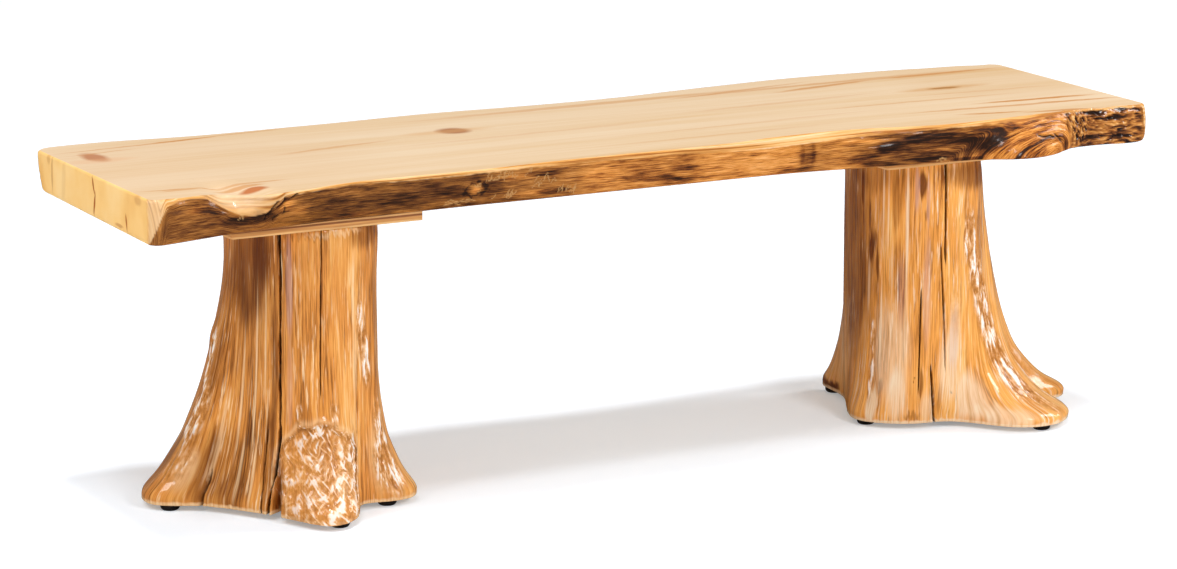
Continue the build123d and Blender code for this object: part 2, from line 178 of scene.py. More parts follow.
for name, power, spread, from_front, from_left in OVERHEADS:
    sun = bpy.data.lights.new(name, "SUN")
    sun.energy = power
    sun.angle = math.radians(spread)
    lamp = bpy.data.objects.new(name, sun)
    lamp.rotation_euler = Euler((math.radians(from_front), math.radians(-from_left), 0))
    bpy.context.scene.collection.objects.link(lamp)
for name, bearing, rise, away, wide, tall, watts in SOFTBOXES:
    box = bpy.data.lights.new(name, "AREA")
    box.shape = "RECTANGLE"
    box.size = wide
    box.size_y = tall
    box.energy = watts
    lamp = bpy.data.objects.new(name, box)
    flat = math.cos(math.radians(rise)) * away
    turn = math.radians(bearing)
    height = SOFTBOX_AIM + math.sin(math.radians(rise)) * away
    lamp.location = (flat * math.cos(turn), flat * math.sin(turn), height)
    lamp.rotation_euler = (Vector((0, 0, SOFTBOX_AIM)) - lamp.location).to_track_quat("-Z", "Y").to_euler()
    bpy.context.scene.collection.objects.link(lamp)


# ---------------------------------------------------------------- seat slab
# A 54 mm plank of lacquered softwood sawn through the log, both live edges left on. The top is
# planed and sanded pale, the peeled edges keep brown inner bark, and the right-hand end of the
# front edge keeps its furrowed outer bark.

# Stations along the slab in millimetres, each with the number of steps from the one before it.
STATION_RUNS = (
    (-762, 0), (-757, 8), (-560, 108), (-345, 78), (-140, 168), (480, 222), (757, 172), (762, 8),
)
SLAB_LAYERS = 38
SLAB_ROWS = 20
# Rows of the mesh beside the edges: how far each lies in from the front and from the back edge.
FRONT_STEPS = (0, 0.8, 2, 4, 7, 11, 16, 23, 33, 48)
BACK_STEPS = (30, 15, 7, 3, 1, 0)
SLAB_TOP = 0.452
SLAB_BOTTOM = 0.398
# Rays that find the sawn slab start this far off, and stay this far inside its top and its ends.
RAY_START = 2.0
RAY_MARGIN_Z = 0.0002
RAY_MARGIN_X = 0.0004

# Upper limit of the brown inner bark along the front, as (x, z) in millimetres.
BARK_LINE = (
    (-762, 392), (-757, 410), (-747, 432), (-736, 444), (-722, 449), (-706, 450), (-680, 448), (-666, 441),
    (-652, 430), (-638, 423), (-622, 421), (-606, 425), (-594, 436), (-585, 446), (-563, 449), (-513, 449),
    (-478, 449), (-407, 447), (-334, 447), (-223, 447), (-147, 446), (-56, 445), (5, 445), (60, 442),
    (101, 440), (150, 438), (200, 439), (294, 442), (360, 445), (410, 447), (508, 447), (560, 446),
    (620, 449), (752, 450), (757, 380), (762, 380),
)
# How orange the inner bark is along the front: (x, share).
WARMTH = (
    (-762, 0.35), (-690, 0.3), (-600, 0.4), (-560, 0.15), (-420, 0.12), (-330, 0.2), (-240, 0.3), (-150, 0.5),
    (-110, 0.85), (0, 0.75), (60, 0.9), (190, 0.95), (212, 0.55), (260, 0.75), (300, 0.45), (360, 0.25),
    (430, 0.35), (500, 0.45), (540, 0.95), (628, 0.9), (640, 0.3), (762, 0.45),
)
# Warmer flecks on the front edge: x, z, half length, half height, strength.
FLECKS = (
    (-583, 436, 20, 15, 0.9), (-560, 424, 24, 12, 0.5), (-700, 436, 22, 8, 0.4), (-470, 405, 60, 6, 0.4),
    (-245, 437, 40, 8, 0.6), (-215, 410, 50, 7, 0.5), (-120, 428, 50, 14, 0.3), (290, 408, 40, 8, 0.3),
    (470, 404, 40, 7, 0.5), (300, 436, 50, 4, 0.6), (-300, 424, 11, 8, 1.0), (405, 418, 45, 5, 0.35),
)
# Darker stains on the front edge: x, z, half length, half height, strength.
STAINS = (
    (-672, 432, 34, 12, 0.7), (-636, 414, 38, 9, 1.0), (-605, 418, 22, 8, 0.8), (-690, 416, 40, 10, 0.4),
    (-730, 414, 26, 14, 0.4), (-520, 428, 60, 18, 0.5), (-450, 412, 90, 18, 0.5), (-380, 422, 60, 22, 0.5),
    (-500, 402, 80, 6, 0.5), (-330, 424, 26, 16, 0.7), (-272, 424, 26, 14, 0.7), (-260, 412, 60, 8, 0.3),
    (-178, 409, 34, 6, 1.0), (-205, 438, 44, 6, 0.9), (-330, 440, 70, 6, 0.5), (-60, 417, 26, 10, 0.7),
    (-16, 412, 40, 8, 0.7), (20, 425, 34, 6, 0.9), (-42, 428, 30, 5, 0.6), (30, 407, 50, 6, 0.7),
    (60, 418, 40, 5, 0.5), (130, 432, 20, 4, 0.6), (213, 424, 20, 26, 0.45), (204, 426, 5, 24, 0.4),
    (221, 423, 5, 26, 0.5), (216, 414, 26, 4, 0.3), (200, 404, 36, 5, 0.8), (300, 410, 34, 12, 0.8),
    (330, 424, 22, 10, 1.0), (352, 430, 20, 8, 1.0), (372, 434, 24, 7, 0.9), (318, 402, 40, 7, 0.8),
    (400, 438, 50, 7, 1.0), (440, 430, 60, 8, 0.8), (395, 406, 44, 5, 0.8), (470, 438, 60, 5, 1.0),
    (480, 422, 34, 12, 0.9), (500, 430, 22, 12, 0.9), (520, 440, 36, 4, 0.8), (430, 414, 40, 5, 0.5),
    (452, 401, 36, 4, 0.9), (613, 408, 7, 9, 1.0), (640, 440, 14, 4, 0.8), (400, 420, 120, 30, 0.55),
    (95, 425, 110, 24, -0.35),
)
# Clusters of light nicks left under the bark by beetles: x, z, half spread along and up, count, length,
# turn in degrees and how far it varies.
WORM_CLUSTERS = (
    (-252, 441, 34, 5, 24, 7, 50, 45), (-318, 407, 19, 3, 9, 13, 8, 12), (-252, 411, 17, 4, 11, 8, 64, 16),
    (-196, 427, 15, 8, 10, 9, 60, 40), (-158, 410, 14, 4, 10, 8, 72, 14), (-300, 426, 7, 6, 4, 7, 0, 40),
    (-636, 421, 5, 4, 3, 8, 0, 60), (412, 403, 9, 2, 5, 7, 0, 60),
)
WORM_HALF_WIDTH = 0.6
WORM_DEPTH = 1.0
# Where along the edge there are any nicks, so that the rest is passed over.
WORM_REACHES = ((-800, -130), (395, 425))
# Dark cracks by the knot-hole and in the tongue: x, z, length, turn in degrees, half width.
CRACKS = (
    (-598, 430, 26, 72, 1.3), (-589, 438, 18, 55, 1.2), (-604, 420, 14, 80, 1.2), (-583, 426, 12, 95, 1.0),
    (-592, 416, 10, 60, 1.0), (-575, 445, 16, 18, 1.0), (575, 425, 30, -14, 1.0), (597, 421, 16, -30, 1.0),
)
CRACK_DEPTH = 3.0
# The scoop where the bark was cut away: x, z, half length, half height, then how deep it goes in, and
# how far and over what length and width it sinks the top beside it.
SCOOP = (-636, 456, 50, 36)
SCOOP_INSET = 14.0
SCOOP_SINK = 7.0
SCOOP_SINK_LENGTH = 60
SCOOP_SINK_WIDTH = 50
SCOOP_SINK_FROM = 0.425
# The round tongue of smooth wood before the furrowed bark: x, z, half length to its left, half height.
TONGUE = (586, 398, 108, 41)
TONGUE_RIGHT = 46
TONGUE_LEAN = 0.35
TONGUE_STEP = 5.0
# Rings round the tongue: how far out, half width, depth of colour, and what its left half has besides.
TONGUE_RINGS = (
    (1.04, 0.05, 1.1, 0), (1.2, 0.06, 0, 0.7), (0.62, 0.05, 1.0, 0), (0.87, 0.035, 0, 0.5),
    (0.78, 0.12, -0.4, 0),
)
# A raised lip over the tongue and the gap behind it, as spots, and how far they stand out.
TONGUE_LIP = (596, 440, 26, 7)
TONGUE_LIP_HEIGHT = 1.6
TONGUE_GAP = (628, 425, 7, 34)
TONGUE_GAP_DEPTH = 3.0
# The furrowed bark, whose ridges stand upright round a knot at its start.
FURROW_START = 626.0
FURROW_END = 746.0
FURROW_DEPTH = 4.0
FURROW_KNOT = (642, 430, 26, 34)
# The small burl: x, z, half length, half height, and how far it stands out.
BURL = (-300, 424, 12, 8)
BURL_HEIGHT = 4.0
BURL_DISH = (-300, 424, 28, 14)
BURL_DISH_DEPTH = 2.0
# The grain runs level here, and turns up the sawn corner from this end on.
GRAIN_LEVEL = 447
CORNER = -757
EDGE_RELIEF = 0.7
BARK_RELIEF = 0.5
BACK_RELIEF = 0.8
BACK_BARK_LINE = 446
# The left end droops from here to its tip, and its back corner is drawn in.
DROOP_START = -0.640
DROOP_RUN = 0.122
END_DROOP = 7.0
CORNER_DRAW = 7.0
CORNER_DRAW_FROM = -0.735
CORNER_DRAW_TO = -0.762

# Knots on the top, the last two being broad faint darker patches over its left and right parts: x, y,
# half length, half width, depth of colour, shade.
TOP_KNOTS = (
    (-713, 122, 20, 40, 1.0, "#b9805c"), (-716, 96, 60, 20, 0.35, "#dca87c"),
    (-205, 77, 29, 27, 1.0, "#a8704a"), (-215, 77, 80, 15, 0.4, "#d2a06a"),
    (577, 57, 32, 9, 1.0, "#8a5428"), (577, 57, 90, 16, 0.5, "#c8904e"),
    (-610, -171, 24, 12, 0.9, "#b4602a"), (-700, -140, 30, 6, 0.5, "#c88848"),
    (-620, 0, 300, 260, 0.1, "#c08a54"), (660, 60, 160, 200, 0.1, "#b98a4c"),
)
# Brown growth lines on the top: x, y, half length, half width, turn in degrees, depth of colour.
TOP_LINES = (
    (-640, 176, 130, 4, 5, 0.7), (-560, 186, 60, 3.5, 4, 1.3), (-470, 196, 90, 4, 5, 0.6),
    (-690, 150, 60, 3, 8, 0.6), (-698, -134, 66, 3, -8, 1.0), (-600, -138, 60, 5, 2, 0.7),
    (-620, -152, 40, 8, 0, 0.8), (-400, 40, 110, 7, 9, 0.5), (434, 152, 110, 8, 9, 0.9),
    (631, 168, 130, 8, 1, 1.0), (300, 176, 150, 6, 9, 0.6), (643, -82, 112, 7, -4, 1.2),
    (690, -118, 80, 6, -6, 1.0), (525, -150, 60, 6, -12, 1.0), (627, -176, 70, 7, -9, 1.0),
    (480, -20, 200, 5, -2, 0.5), (560, -110, 160, 7, -5, 0.8), (100, -120, 220, 5, 1, 0.3),
    (200, -60, 260, 6, 2, 0.25), (-100, 10, 260, 7, 2, 0.25), (620, 10, 130, 6, -3, 0.35),
    (300, 60, 200, 8, 3, 0.3), (60, 174, 330, 12, 1, 0.5), (420, 172, 260, 8, 2, 0.6),
)
# Checks in the left end: y, z, half width, half height, lean in degrees, depth of colour.
END_CHECKS = (
    (2, 438, 3, 16, -25, 1.0), (0, 415, 3, 20, 16, 1.0), (-110, 410, 3, 14, -6, 0.9),
    (-84, 402, 16, 3, 0, 0.5), (152, 430, 4, 30, 4, 0.45), (110, 425, 9, 40, 8, 0.12),
    (165, 447, 9, 8, 0, 0.3), (-150, 446, 14, 9, 0, 0.35),
)


def tree_of(name):
    """The surface of a CAD node, to be met by rays."""
    return BVHTree.FromObject(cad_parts[name], bpy.context.evaluated_depsgraph_get())


def smooth(low, high, value):
    """0 below low, 1 above high, eased in between."""
    share = min(max((value - low) / (high - low), 0.0), 1.0)
    return share * share * (3 - 2 * share)


def along_line(points, x):
    """Height of a run of (x, height) points at x, straight between them."""
    place = bisect.bisect_left(points, (x,))
    if place == 0:
        return points[0][1]
    if place == len(points):
        return points[-1][1]
    (x1, z1), (x2, z2) = points[place - 1], points[place]
    return z1 + (z2 - z1) * (x - x1) / (x2 - x1)


def spot(x, z, centre_x, centre_z, half_x, half_z):
    """1 in the middle of a soft oval, 0 outside it."""
    reach = ((x - centre_x) / half_x) ** 2 + ((z - centre_z) / half_z) ** 2
    return max(0.0, 1 - reach) ** 2 if reach < 1 else 0.0


def rumple(x, y, z):
    """Smooth noise between -1 and 1."""
    return noise.noise(Vector((x, y, z)))


def fibre(x, z, across, along, seed):
    """Noise drawn out along x: across and along are its sizes in millimetres."""
    return rumple(x / along, z / across, seed)


def track(x, z, at_x, at_z, length, turn, bend, half_width):
    """1 on a short bent line, 0 off it."""
    if abs(x - at_x) > length or abs(z - at_z) > length:
        return 0.0
    c, s = math.cos(math.radians(turn)), math.sin(math.radians(turn))
    run = (x - at_x) * c + (z - at_z) * s
    side = (z - at_z) * c - (x - at_x) * s + bend * math.sin(run * 4 / length + at_x)
    within = 1 - smooth(half_width * 0.5, half_width * 1.5, abs(side))
    return within * (1 - smooth(0.42, 0.55, abs(run) / length))


def give(mesh, **marks):
    """Writes lists of numbers or vectors as vertex attributes for the material to read."""
    for name, values in marks.items():
        if hasattr(values[0], "__len__"):
            layer = mesh.attributes.new(name, "FLOAT_VECTOR", "POINT")
            layer.data.foreach_set("vector", [part for value in values for part in value])
        else:
            layer = mesh.attributes.new(name, "FLOAT", "POINT")
            layer.data.foreach_set("value", values)


def edge_front(x, z):
    """How the front edge stands out at (x, z) in millimetres, its grain height and its marks."""
    # The bark's ragged upper limit, the grain that follows it, and the turned grain of the corner.
    line = along_line(BARK_LINE, x)
    ragged = (1.2 * fibre(x, z, 8, 14, 3.1) + 0.8 * fibre(x, z, 3, 6, 3.7)) * smooth(-600, -560, x)
    bark = smooth(-1.2, 1.2, line - z + ragged)
    follow = math.exp(-abs(line - z) / 20) * smooth(-752, -720, x) * (1 - smooth(700, 745, x))
    grain = z - (line - GRAIN_LEVEL) * follow
    facet = 1 - smooth(CORNER + 7, CORNER + 19, x)
    grain += facet * (GRAIN_LEVEL + 0.9 * (x - CORNER) + 0.15 * (z - GRAIN_LEVEL) - grain)
    # Stains with frayed rims, and how orange the bark is.
    dark = 0.0
    frayed = z + 2.5 * fibre(x, z, 5, 22, 8.8)
    for stain in STAINS:
        dark += stain[4] * min(1.0, 1.7 * spot(x, frayed, *stain[:4]))
    warm = along_line(WARMTH, x)
    for fleck in FLECKS:
        warm += fleck[4] * spot(x, z, *fleck[:4])
    # The scoop, with its shaded rim and a lip of bark left on it.
    out = 0.0
    scoop = math.hypot((x - SCOOP[0]) / SCOOP[2], (z - SCOOP[1]) / SCOOP[3])
    out -= SCOOP_INSET * (1 - smooth(0.2, 1.0, scoop))
    dark += 0.9 * spot(scoop, 0, 1.1, 0, 0.12, 1) * smooth(-690, -660, x)
    lip = (1 - smooth(0.9, 1.15, scoop)) * math.exp(-max(z - line, 0.0) / 9)
    bark = max(bark, lip * min(max(0.4 + 1.5 * fibre(x, grain, 2.4, 70, 6.0), 0.0), 0.8))
    # The tongue, whose grain runs round it.
    skewed = x - TONGUE_LEAN * (z - TONGUE[1])
    wide = TONGUE[2] if skewed < TONGUE[0] else TONGUE_RIGHT
    tongue = math.hypot((skewed - TONGUE[0]) / wide, (z - TONGUE[1]) / TONGUE[3])
    share = 1 - smooth(1.05, 1.5, tongue)
    grain += share * (TONGUE[1] + TONGUE[3] * tongue - grain)
    out += TONGUE_STEP * (1 - smooth(0.8, 1.0, tongue))
    left_half = smooth(620, 540, x)
    for ring, half_width, deep, left_deep in TONGUE_RINGS:
        dark += (deep + left_deep * left_half) * spot(tongue, 0, ring, 0, half_width, 1)
    dark += 0.35 * (1 - smooth(0.8, 1.05, tongue))
    warm += 0.6 * (1 - smooth(0.9, 1.05, tongue))
    # Streaks of the grain everywhere, and the ridges of the furrowed bark.
    furrow = smooth(FURROW_START - 6, FURROW_START + 8, x + 0.2 * (z - 425))
    furrow *= 1 - smooth(FURROW_END, FURROW_END + 7, x)
    relief = fibre(x, grain, 7, 60, 0.0) + 0.7 * fibre(x, grain, 2.6, 26, 5.0)
    out += (EDGE_RELIEF + BARK_RELIEF * bark) * relief
    bend = 6 * fibre(x, z, 30, 34, 9.0) + 2 * fibre(x, z, 9, 12, 9.5)
    ridge = 1 - 1.9 * abs(fibre(x, z + bend, 6.5, 46, 2.0)) - 1.3 * abs(fibre(x, z + bend, 3, 15, 7.0))
    upright = 1 - 2.6 * abs(rumple((x + 0.4 * z) / 4, z / 12, 4.0))
    knotty = spot(x, z, *FURROW_KNOT)
    ridge += (upright - ridge) * min(1.0, 2.0 * knotty)
    out += furrow * FURROW_DEPTH * (ridge - 0.55)
    out += TONGUE_LIP_HEIGHT * spot(x, z, *TONGUE_LIP) - TONGUE_GAP_DEPTH * spot(x, z, *TONGUE_GAP)
    relief += furrow * (2.2 * (ridge - 0.4) - relief)
    # The burl in its dish, with a dark ragged ring.
    burl = spot(x, z, *BURL)
    out += BURL_HEIGHT * burl - BURL_DISH_DEPTH * spot(x, z, *BURL_DISH)
    around = math.hypot((x - BURL[0]) / BURL[2], (z - BURL[1]) / BURL[3]) + 0.5 * fibre(x, z, 4, 5, 6.4)
    dark += 1.3 * spot(around, 0, 1.25, 0, 0.35, 1) - 0.5 * burl
    # Cracks and nicks.
    crack = 0.0
    for at_x, at_z, length, turn, half_width in CRACKS:
        crack = max(crack, track(x, z, at_x, at_z, length, turn, 1.5, half_width))
    worm = 0.0
    if any(low < x < high for low, high in WORM_REACHES):
        for at_x, at_z, length, turn, bent in worm_tracks:
            worm = max(worm, track(x, z, at_x, at_z, length, turn, bent, WORM_HALF_WIDTH))
    out -= WORM_DEPTH * worm + CRACK_DEPTH * crack
    marks = {
        "edge": (1 - 0.65 * (1 - smooth(0.45, 0.95, scoop))) * (1 - 0.5 * facet),
        "bark": bark, "dark": min(max(dark, -0.6), 1.5), "warm": min(max(warm, 0.0), 1.0),
        "worm": worm, "crack": crack, "relief": relief, "furrow": furrow,
    }
    return out, grain, marks


dice = random.Random(11)
worm_tracks = [
    (x + wide * dice.uniform(-1, 1), z + tall * dice.uniform(-1, 1), size * dice.uniform(0.7, 1.3),
     turn + vary * dice.uniform(-1, 1), dice.uniform(0.6, 1.8))
    for x, z, wide, tall, count, size, turn, vary in WORM_CLUSTERS
    for _ in range(count)
]

# The slab is a fine block whose vertices are laid on the sawn slab: x from its ends, y from its two live
# edges, with the relief added at the edges and the scoop and droop at the top.
surface = tree_of("seat_slab")
stations = [STATION_RUNS[0][0]]
for reach, steps in STATION_RUNS[1:]:
    start = stations[-1]
    stations += [start + (reach - start) * (k + 1) / steps for k in range(steps)]
slab = bmesh.new()
bmesh.ops.create_cube(slab, size=2)
for axis, cuts in enumerate((len(stations) - 2, SLAB_ROWS - 1, SLAB_LAYERS - 1)):
    lines = [e for e in slab.edges if abs(e.verts[0].co[axis] - e.verts[1].co[axis]) > 1e-6]
    bmesh.ops.subdivide_edges(slab, edges=lines, cuts=cuts, use_grid_fill=True)

SIDE_MARKS = ("bark", "dark", "warm", "worm", "crack", "relief", "furrow")
ends = {}
sides = {}
layers = {key: [] for key in SIDE_MARKS + ("edge", "end_face")}
grains = []
length = stations[-1] - stations[0]
for vertex in slab.verts:
    # Place in the block, from -1 to 1 each way, and the height that it stands for.
    u, v, w = vertex.co
    rise = 0.5 + 0.5 * (0.6 * w + 0.4 * math.sin(w * math.pi / 2))
    z = SLAB_BOTTOM + (SLAB_TOP - SLAB_BOTTOM) * rise
    look_z = min(max(z, SLAB_BOTTOM + RAY_MARGIN_Z), SLAB_TOP - RAY_MARGIN_Z)
    layer = round((w + 1) / 2 * SLAB_LAYERS)
    if layer not in ends:
        left = surface.ray_cast(Vector((-RAY_START, 0, look_z)), Vector((1, 0, 0)))[0].x
        right = surface.ray_cast(Vector((RAY_START, 0, look_z)), Vector((-1, 0, 0)))[0].x
        ends[layer] = (left, right)
    left, right = ends[layer]
    station = round((u + 1) / 2 * (len(stations) - 1))
    x = left + (right - left) * (stations[station] - stations[0]) / length
    key = (station, layer)
    if key not in sides:
        look_x = min(max(x, left + RAY_MARGIN_X), right - RAY_MARGIN_X)
        near = surface.ray_cast(Vector((look_x, -RAY_START, look_z)), Vector((0, 1, 0)))[0].y
        far = surface.ray_cast(Vector((look_x, RAY_START, look_z)), Vector((0, -1, 0)))[0].y
        far -= CORNER_DRAW / 1000 * smooth(CORNER_DRAW_FROM, CORNER_DRAW_TO, x)
        out, grain, marks = edge_front(x * 1000, z * 1000)
        out *= smooth(-0.001, 0.003, z - SLAB_BOTTOM) * smooth(0, 0.012, min(x - left, right - x))
        back = BACK_RELIEF * fibre(x * 1000, z * 1000, 9, 70, 20.0)
        back *= smooth(0, 0.012, min(x - left, right - x))
        sides[key] = (near - out / 1000, far + back / 1000, grain, marks)
    near, far, grain, marks = sides[key]
    # Rows close together at the edges and even in between.
    row = round((v + 1) / 2 * SLAB_ROWS)
    if row < len(FRONT_STEPS):
        y = near + FRONT_STEPS[row] / 1000
    elif row > SLAB_ROWS - len(BACK_STEPS):
        y = far - BACK_STEPS[row - SLAB_ROWS + len(BACK_STEPS) - 1] / 1000
    else:
        first, last = near + FRONT_STEPS[-1] / 1000, far - BACK_STEPS[0] / 1000
        open_rows = SLAB_ROWS - len(FRONT_STEPS) - len(BACK_STEPS) + 2
        y = first + (last - first) * (row - len(FRONT_STEPS) + 1) / open_rows
    from_edge = (y - near) * 1000
    dip = spot(x * 1000, from_edge, SCOOP[0], 0, SCOOP_SINK_LENGTH, SCOOP_SINK_WIDTH)
    dip *= smooth(SCOOP_SINK_FROM, SLAB_TOP, z)
    hang = max(0.0, (DROOP_START - x) / DROOP_RUN) * (1 - 0.75 * (y - near) / (far - near)) * (1 - rise)
    at_back = smooth(1.5, 0, (far - y) * 1000)
    ragged = 1.6 * fibre(x * 1000, z * 1000, 8, 14, 13.0)
    back_bark = at_back * smooth(-1.5, 1.5, BACK_BARK_LINE - z * 1000 + ragged)
    # The grain of the top bends round its knots.
    bend_y = 0.0
    for knot_x, knot_y, half_x, half_y, _, _ in TOP_KNOTS:
        away = (y * 1000 - knot_y) / (half_y * 1.3)
        bend_y += half_y * 0.3 * away * math.exp(-away * away - ((x * 1000 - knot_x) / (half_x * 2.2)) ** 2)
    on_front = 1 - smooth(0, 2.0, from_edge)
    vertex.co = (x, y, z - dip * SCOOP_SINK / 1000 - hang * END_DROOP / 1000)
    grains.append((x, y - bend_y / 1000, (grain * on_front + z * 1000 * (1 - on_front)) / 1000))
    for mark in SIDE_MARKS:
        layers[mark].append(marks[mark] * on_front)
    layers["bark"][-1] = max(layers["bark"][-1], back_bark)
    layers["dark"][-1] += 0.4 * at_back
    layers["relief"][-1] += fibre(x * 1000, z * 1000, 9, 70, 20.0) * at_back
    layers["edge"].append(max(on_front * marks["edge"], at_back))
    layers["end_face"].append(1 - smooth(0, 0.0015, min(x - left, right - x)))

slab_wood, tree, out = new_material("clear-lacquered softwood plank, planed top, hand-peeled edges")
# The planed top shows pale cream fibre with a few honey growth lines; the peeled edges show inner
# bark in fine streaks from dark brown to orange, gold where the last of the bark was shaved off.
MARK_FEATHER = 2.2
SHIVER = 0.010
SHIVER_SIZE = 35.714

mark = {
    key: node(tree, "ShaderNodeAttribute", attribute_name=key).outputs["Fac"] for key in layers
}
place = node(tree, "ShaderNodeAttribute", attribute_name="grain").outputs["Vector"]
own = node(tree, "ShaderNodeTexCoord").outputs["Object"]


def wood_pattern(tree, place, size, detail, rough):
    """Noise about 0.5 that repeats roughly every size in millimetres along each axis of a place."""
    lay = node(tree, "ShaderNodeMapping", {"Vector": place, "Scale": [1000 / each for each in size]})
    return node(
        tree, "ShaderNodeTexNoise",
        {"Vector": lay.outputs[0], "Scale": 1.0, "Detail": detail, "Roughness": rough},
    ).outputs["Fac"]


def summed(tree, start, terms):
    """start plus each pattern or mark times its weight."""
    total = start
    for value, weight in terms:
        total = node(
            tree, "ShaderNodeMath", {0: value, 1: weight, 2: total}, operation="MULTIPLY_ADD"
        ).outputs[0]
    return total


def oval(tree, place, centre, half, turn, depth):
    """Share of a soft mark about a centre in millimetres, stretched to its half sizes and turned."""
    at = node(
        tree, "ShaderNodeMapping",
        {
            "Vector": place, "Location": [c / 1000 for c in centre], "Scale": [h / 1000 for h in half],
            "Rotation": [math.radians(t) for t in turn],
        },
        vector_type="TEXTURE",
    )
    share = node(
        tree, "ShaderNodeTexGradient", {"Vector": at.outputs[0]}, gradient_type="SPHERICAL"
    ).outputs["Fac"]
    for factor in (MARK_FEATHER, depth):
        share = node(
            tree, "ShaderNodeMath", {0: share, 1: factor}, operation="MULTIPLY", use_clamp=True
        ).outputs[0]
    return share


shiver = node(
    tree, "ShaderNodeTexNoise", {"Vector": own, "Scale": 1000 / SHIVER_SIZE, "Detail": 3}
).outputs["Color"]
wavy = node(
    tree, "ShaderNodeVectorMath", {0: shiver, 1: [SHIVER] * 3, 2: own}, operation="MULTIPLY_ADD"
).outputs[0]
wavy = node(
    tree, "ShaderNodeVectorMath", {0: wavy, 1: [SHIVER / 2] * 3}, operation="SUBTRACT"
).outputs[0]
bands = wood_pattern(tree, place, (1111.1, 62.5, 83.333), 3, 0.5)
lines = wood_pattern(tree, place, (250, 4.7619, 6.6667), 3, 0.55)
tone = summed(tree, -0.38, ((bands, 1.15), (lines, 0.65)))
top = node(
    tree, "ShaderNodeValToRGB", {"Fac": tone},
    stops=((0.1, "#d3ab78"), (0.38, "#dabb93"), (0.6, "#dfc4a2"), (0.95, "#e3cdae")),
).outputs[0]
for knot_x, knot_y, half_x, half_y, depth, shade in TOP_KNOTS:
    there = oval(tree, wavy, (knot_x, knot_y, 452), (half_x, half_y, 40), (0, 0, 0), depth)
    top = node(tree, "ShaderNodeMix", {"Factor": there, 6: top, 7: shade}, data_type="RGBA").outputs[2]
for line_x, line_y, half_x, half_y, turn, depth in TOP_LINES:
    there = oval(tree, wavy, (line_x, line_y, 452), (half_x, half_y, 30), (0, 0, turn), depth * 0.85)
    top = node(tree, "ShaderNodeMix", {"Factor": there, 6: top, 7: "#c4864a"}, data_type="RGBA").outputs[2]
endgrain = node(
    tree, "ShaderNodeValToRGB", {"Fac": bands}, stops=((0.3, "#eeb463"), (0.5, "#f8c87c"), (0.7, "#fbd390"))
).outputs[0]
for check_y, check_z, half_y, half_z, lean, depth in END_CHECKS:
    there = oval(tree, wavy, (-760, check_y, check_z), (60, half_y, half_z), (lean, 0, 0), depth)
    endgrain = node(
        tree, "ShaderNodeMix", {"Factor": there, 6: endgrain, 7: "#ac5c14"}, data_type="RGBA"
    ).outputs[2]
shavings = wood_pattern(tree, place, (200, 71.429, 2.6316), 3, 0.6)
gold = node(
    tree, "ShaderNodeValToRGB", {"Fac": summed(tree, -0.9, ((shavings, 2.6),))},
    stops=((0.05, "#a8662a"), (0.3, "#d6984e"), (0.6, "#eabb80"), (0.95, "#f2d2a8")),
).outputs[0]
streaks = wood_pattern(tree, place, (29.412, 12.5, 1.1111), 4, 0.7)
drifts = wood_pattern(tree, place, (45.455, 45.455, 8.3333), 3, 0.6)
tone = summed(
    tree, -0.96, ((streaks, 1.9), (drifts, 0.95), (mark["relief"], 0.06), (mark["dark"], -0.34)),
)
brown = node(
    tree, "ShaderNodeValToRGB", {"Fac": tone},
    stops=((0.05, "#1e0e04"), (0.3, "#48260c"), (0.55, "#764514"), (0.8, "#a46624"), (1.0, "#c8883a")),
).outputs[0]
orange = node(
    tree, "ShaderNodeValToRGB", {"Fac": tone},
    stops=((0.0, "#341806"), (0.25, "#904c14"), (0.5, "#d08536"), (0.75, "#e59f52"), (1.0, "#f0b678")),
).outputs[0]
# The furrowed bark goes from near black in its furrows to pale on its crests by the relief: partly the bark's
# own colour, partly painted shade and highlight.
crest = node(
    tree, "ShaderNodeValToRGB", {"Fac": summed(tree, 0.0, ((mark["relief"], 0.36), (streaks, 0.95)))},
    stops=((0.05, "#260f04"), (0.3, "#5c3010"), (0.55, "#9e5c20"), (0.8, "#d08c40"), (1.0, "#f0bc78")),
).outputs[0]
peel = brown
for share, shade in ((mark["warm"], orange), (mark["furrow"], crest), (mark["worm"], "#ba8c54")):
    peel = node(tree, "ShaderNodeMix", {"Factor": share, 6: peel, 7: shade}, data_type="RGBA").outputs[2]
whole = top
for share, shade in (
    (mark["end_face"], endgrain), (mark["edge"], gold), (mark["bark"], peel), (mark["crack"], "#1a0c05"),
):
    whole = node(tree, "ShaderNodeMix", {"Factor": share, 6: whole, 7: shade}, data_type="RGBA").outputs[2]
gloss = summed(tree, 0.1, ((mark["bark"], 0.2), (mark["furrow"], 0.7)))
bump = node(tree, "ShaderNodeBump", {"Height": streaks, "Strength": 0.3, "Distance": 0.0012})
finish = node(
    tree, "ShaderNodeBsdfPrincipled",
    {
        "Base Color": whole, "Roughness": 0.45, "Coat Weight": gloss, "Coat Roughness": 0.1,
        "Specular IOR Level": 0.15, "Normal": bump.outputs[0],
    },
)
tree.links.new(finish.outputs[0], out.inputs["Surface"])

piece = new_piece("live_edge_slab", slab, slab_wood)
give(piece.data, grain=grains, **layers)
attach(piece, "bench")
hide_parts("seat_slab")


# ---------------------------------------------------------------- root stumps
# Two softwood root stumps, crown up under the plates, peeled by hand and lacquered bright. The fibres
# run down the trunk and out over the root lobes in ridges; drying has split them, and the drawknife
# left cream flats, torn dark spots and rough chipped patches on the lobes. Light is painted on too:
# shade under the seat and down the left flanks, and cream, white and pinkish glints where the
# lacquer shines.

CROWN = 385.0
FOOT = 8.0
FOOT_ROUND = 1.4
# The CAD trunk is looked up from this far outside the pith, every degree and this far apart in
# height, and this far inside its foot and its crown.
LOOK_FROM = 0.4
LOOK_STEP = 4
LOOK_ABOVE_FOOT = 3.5
LOOK_BELOW_CROWN = 0.5
STUMP_COLUMNS = 520
BEARING_STEPS = 3600
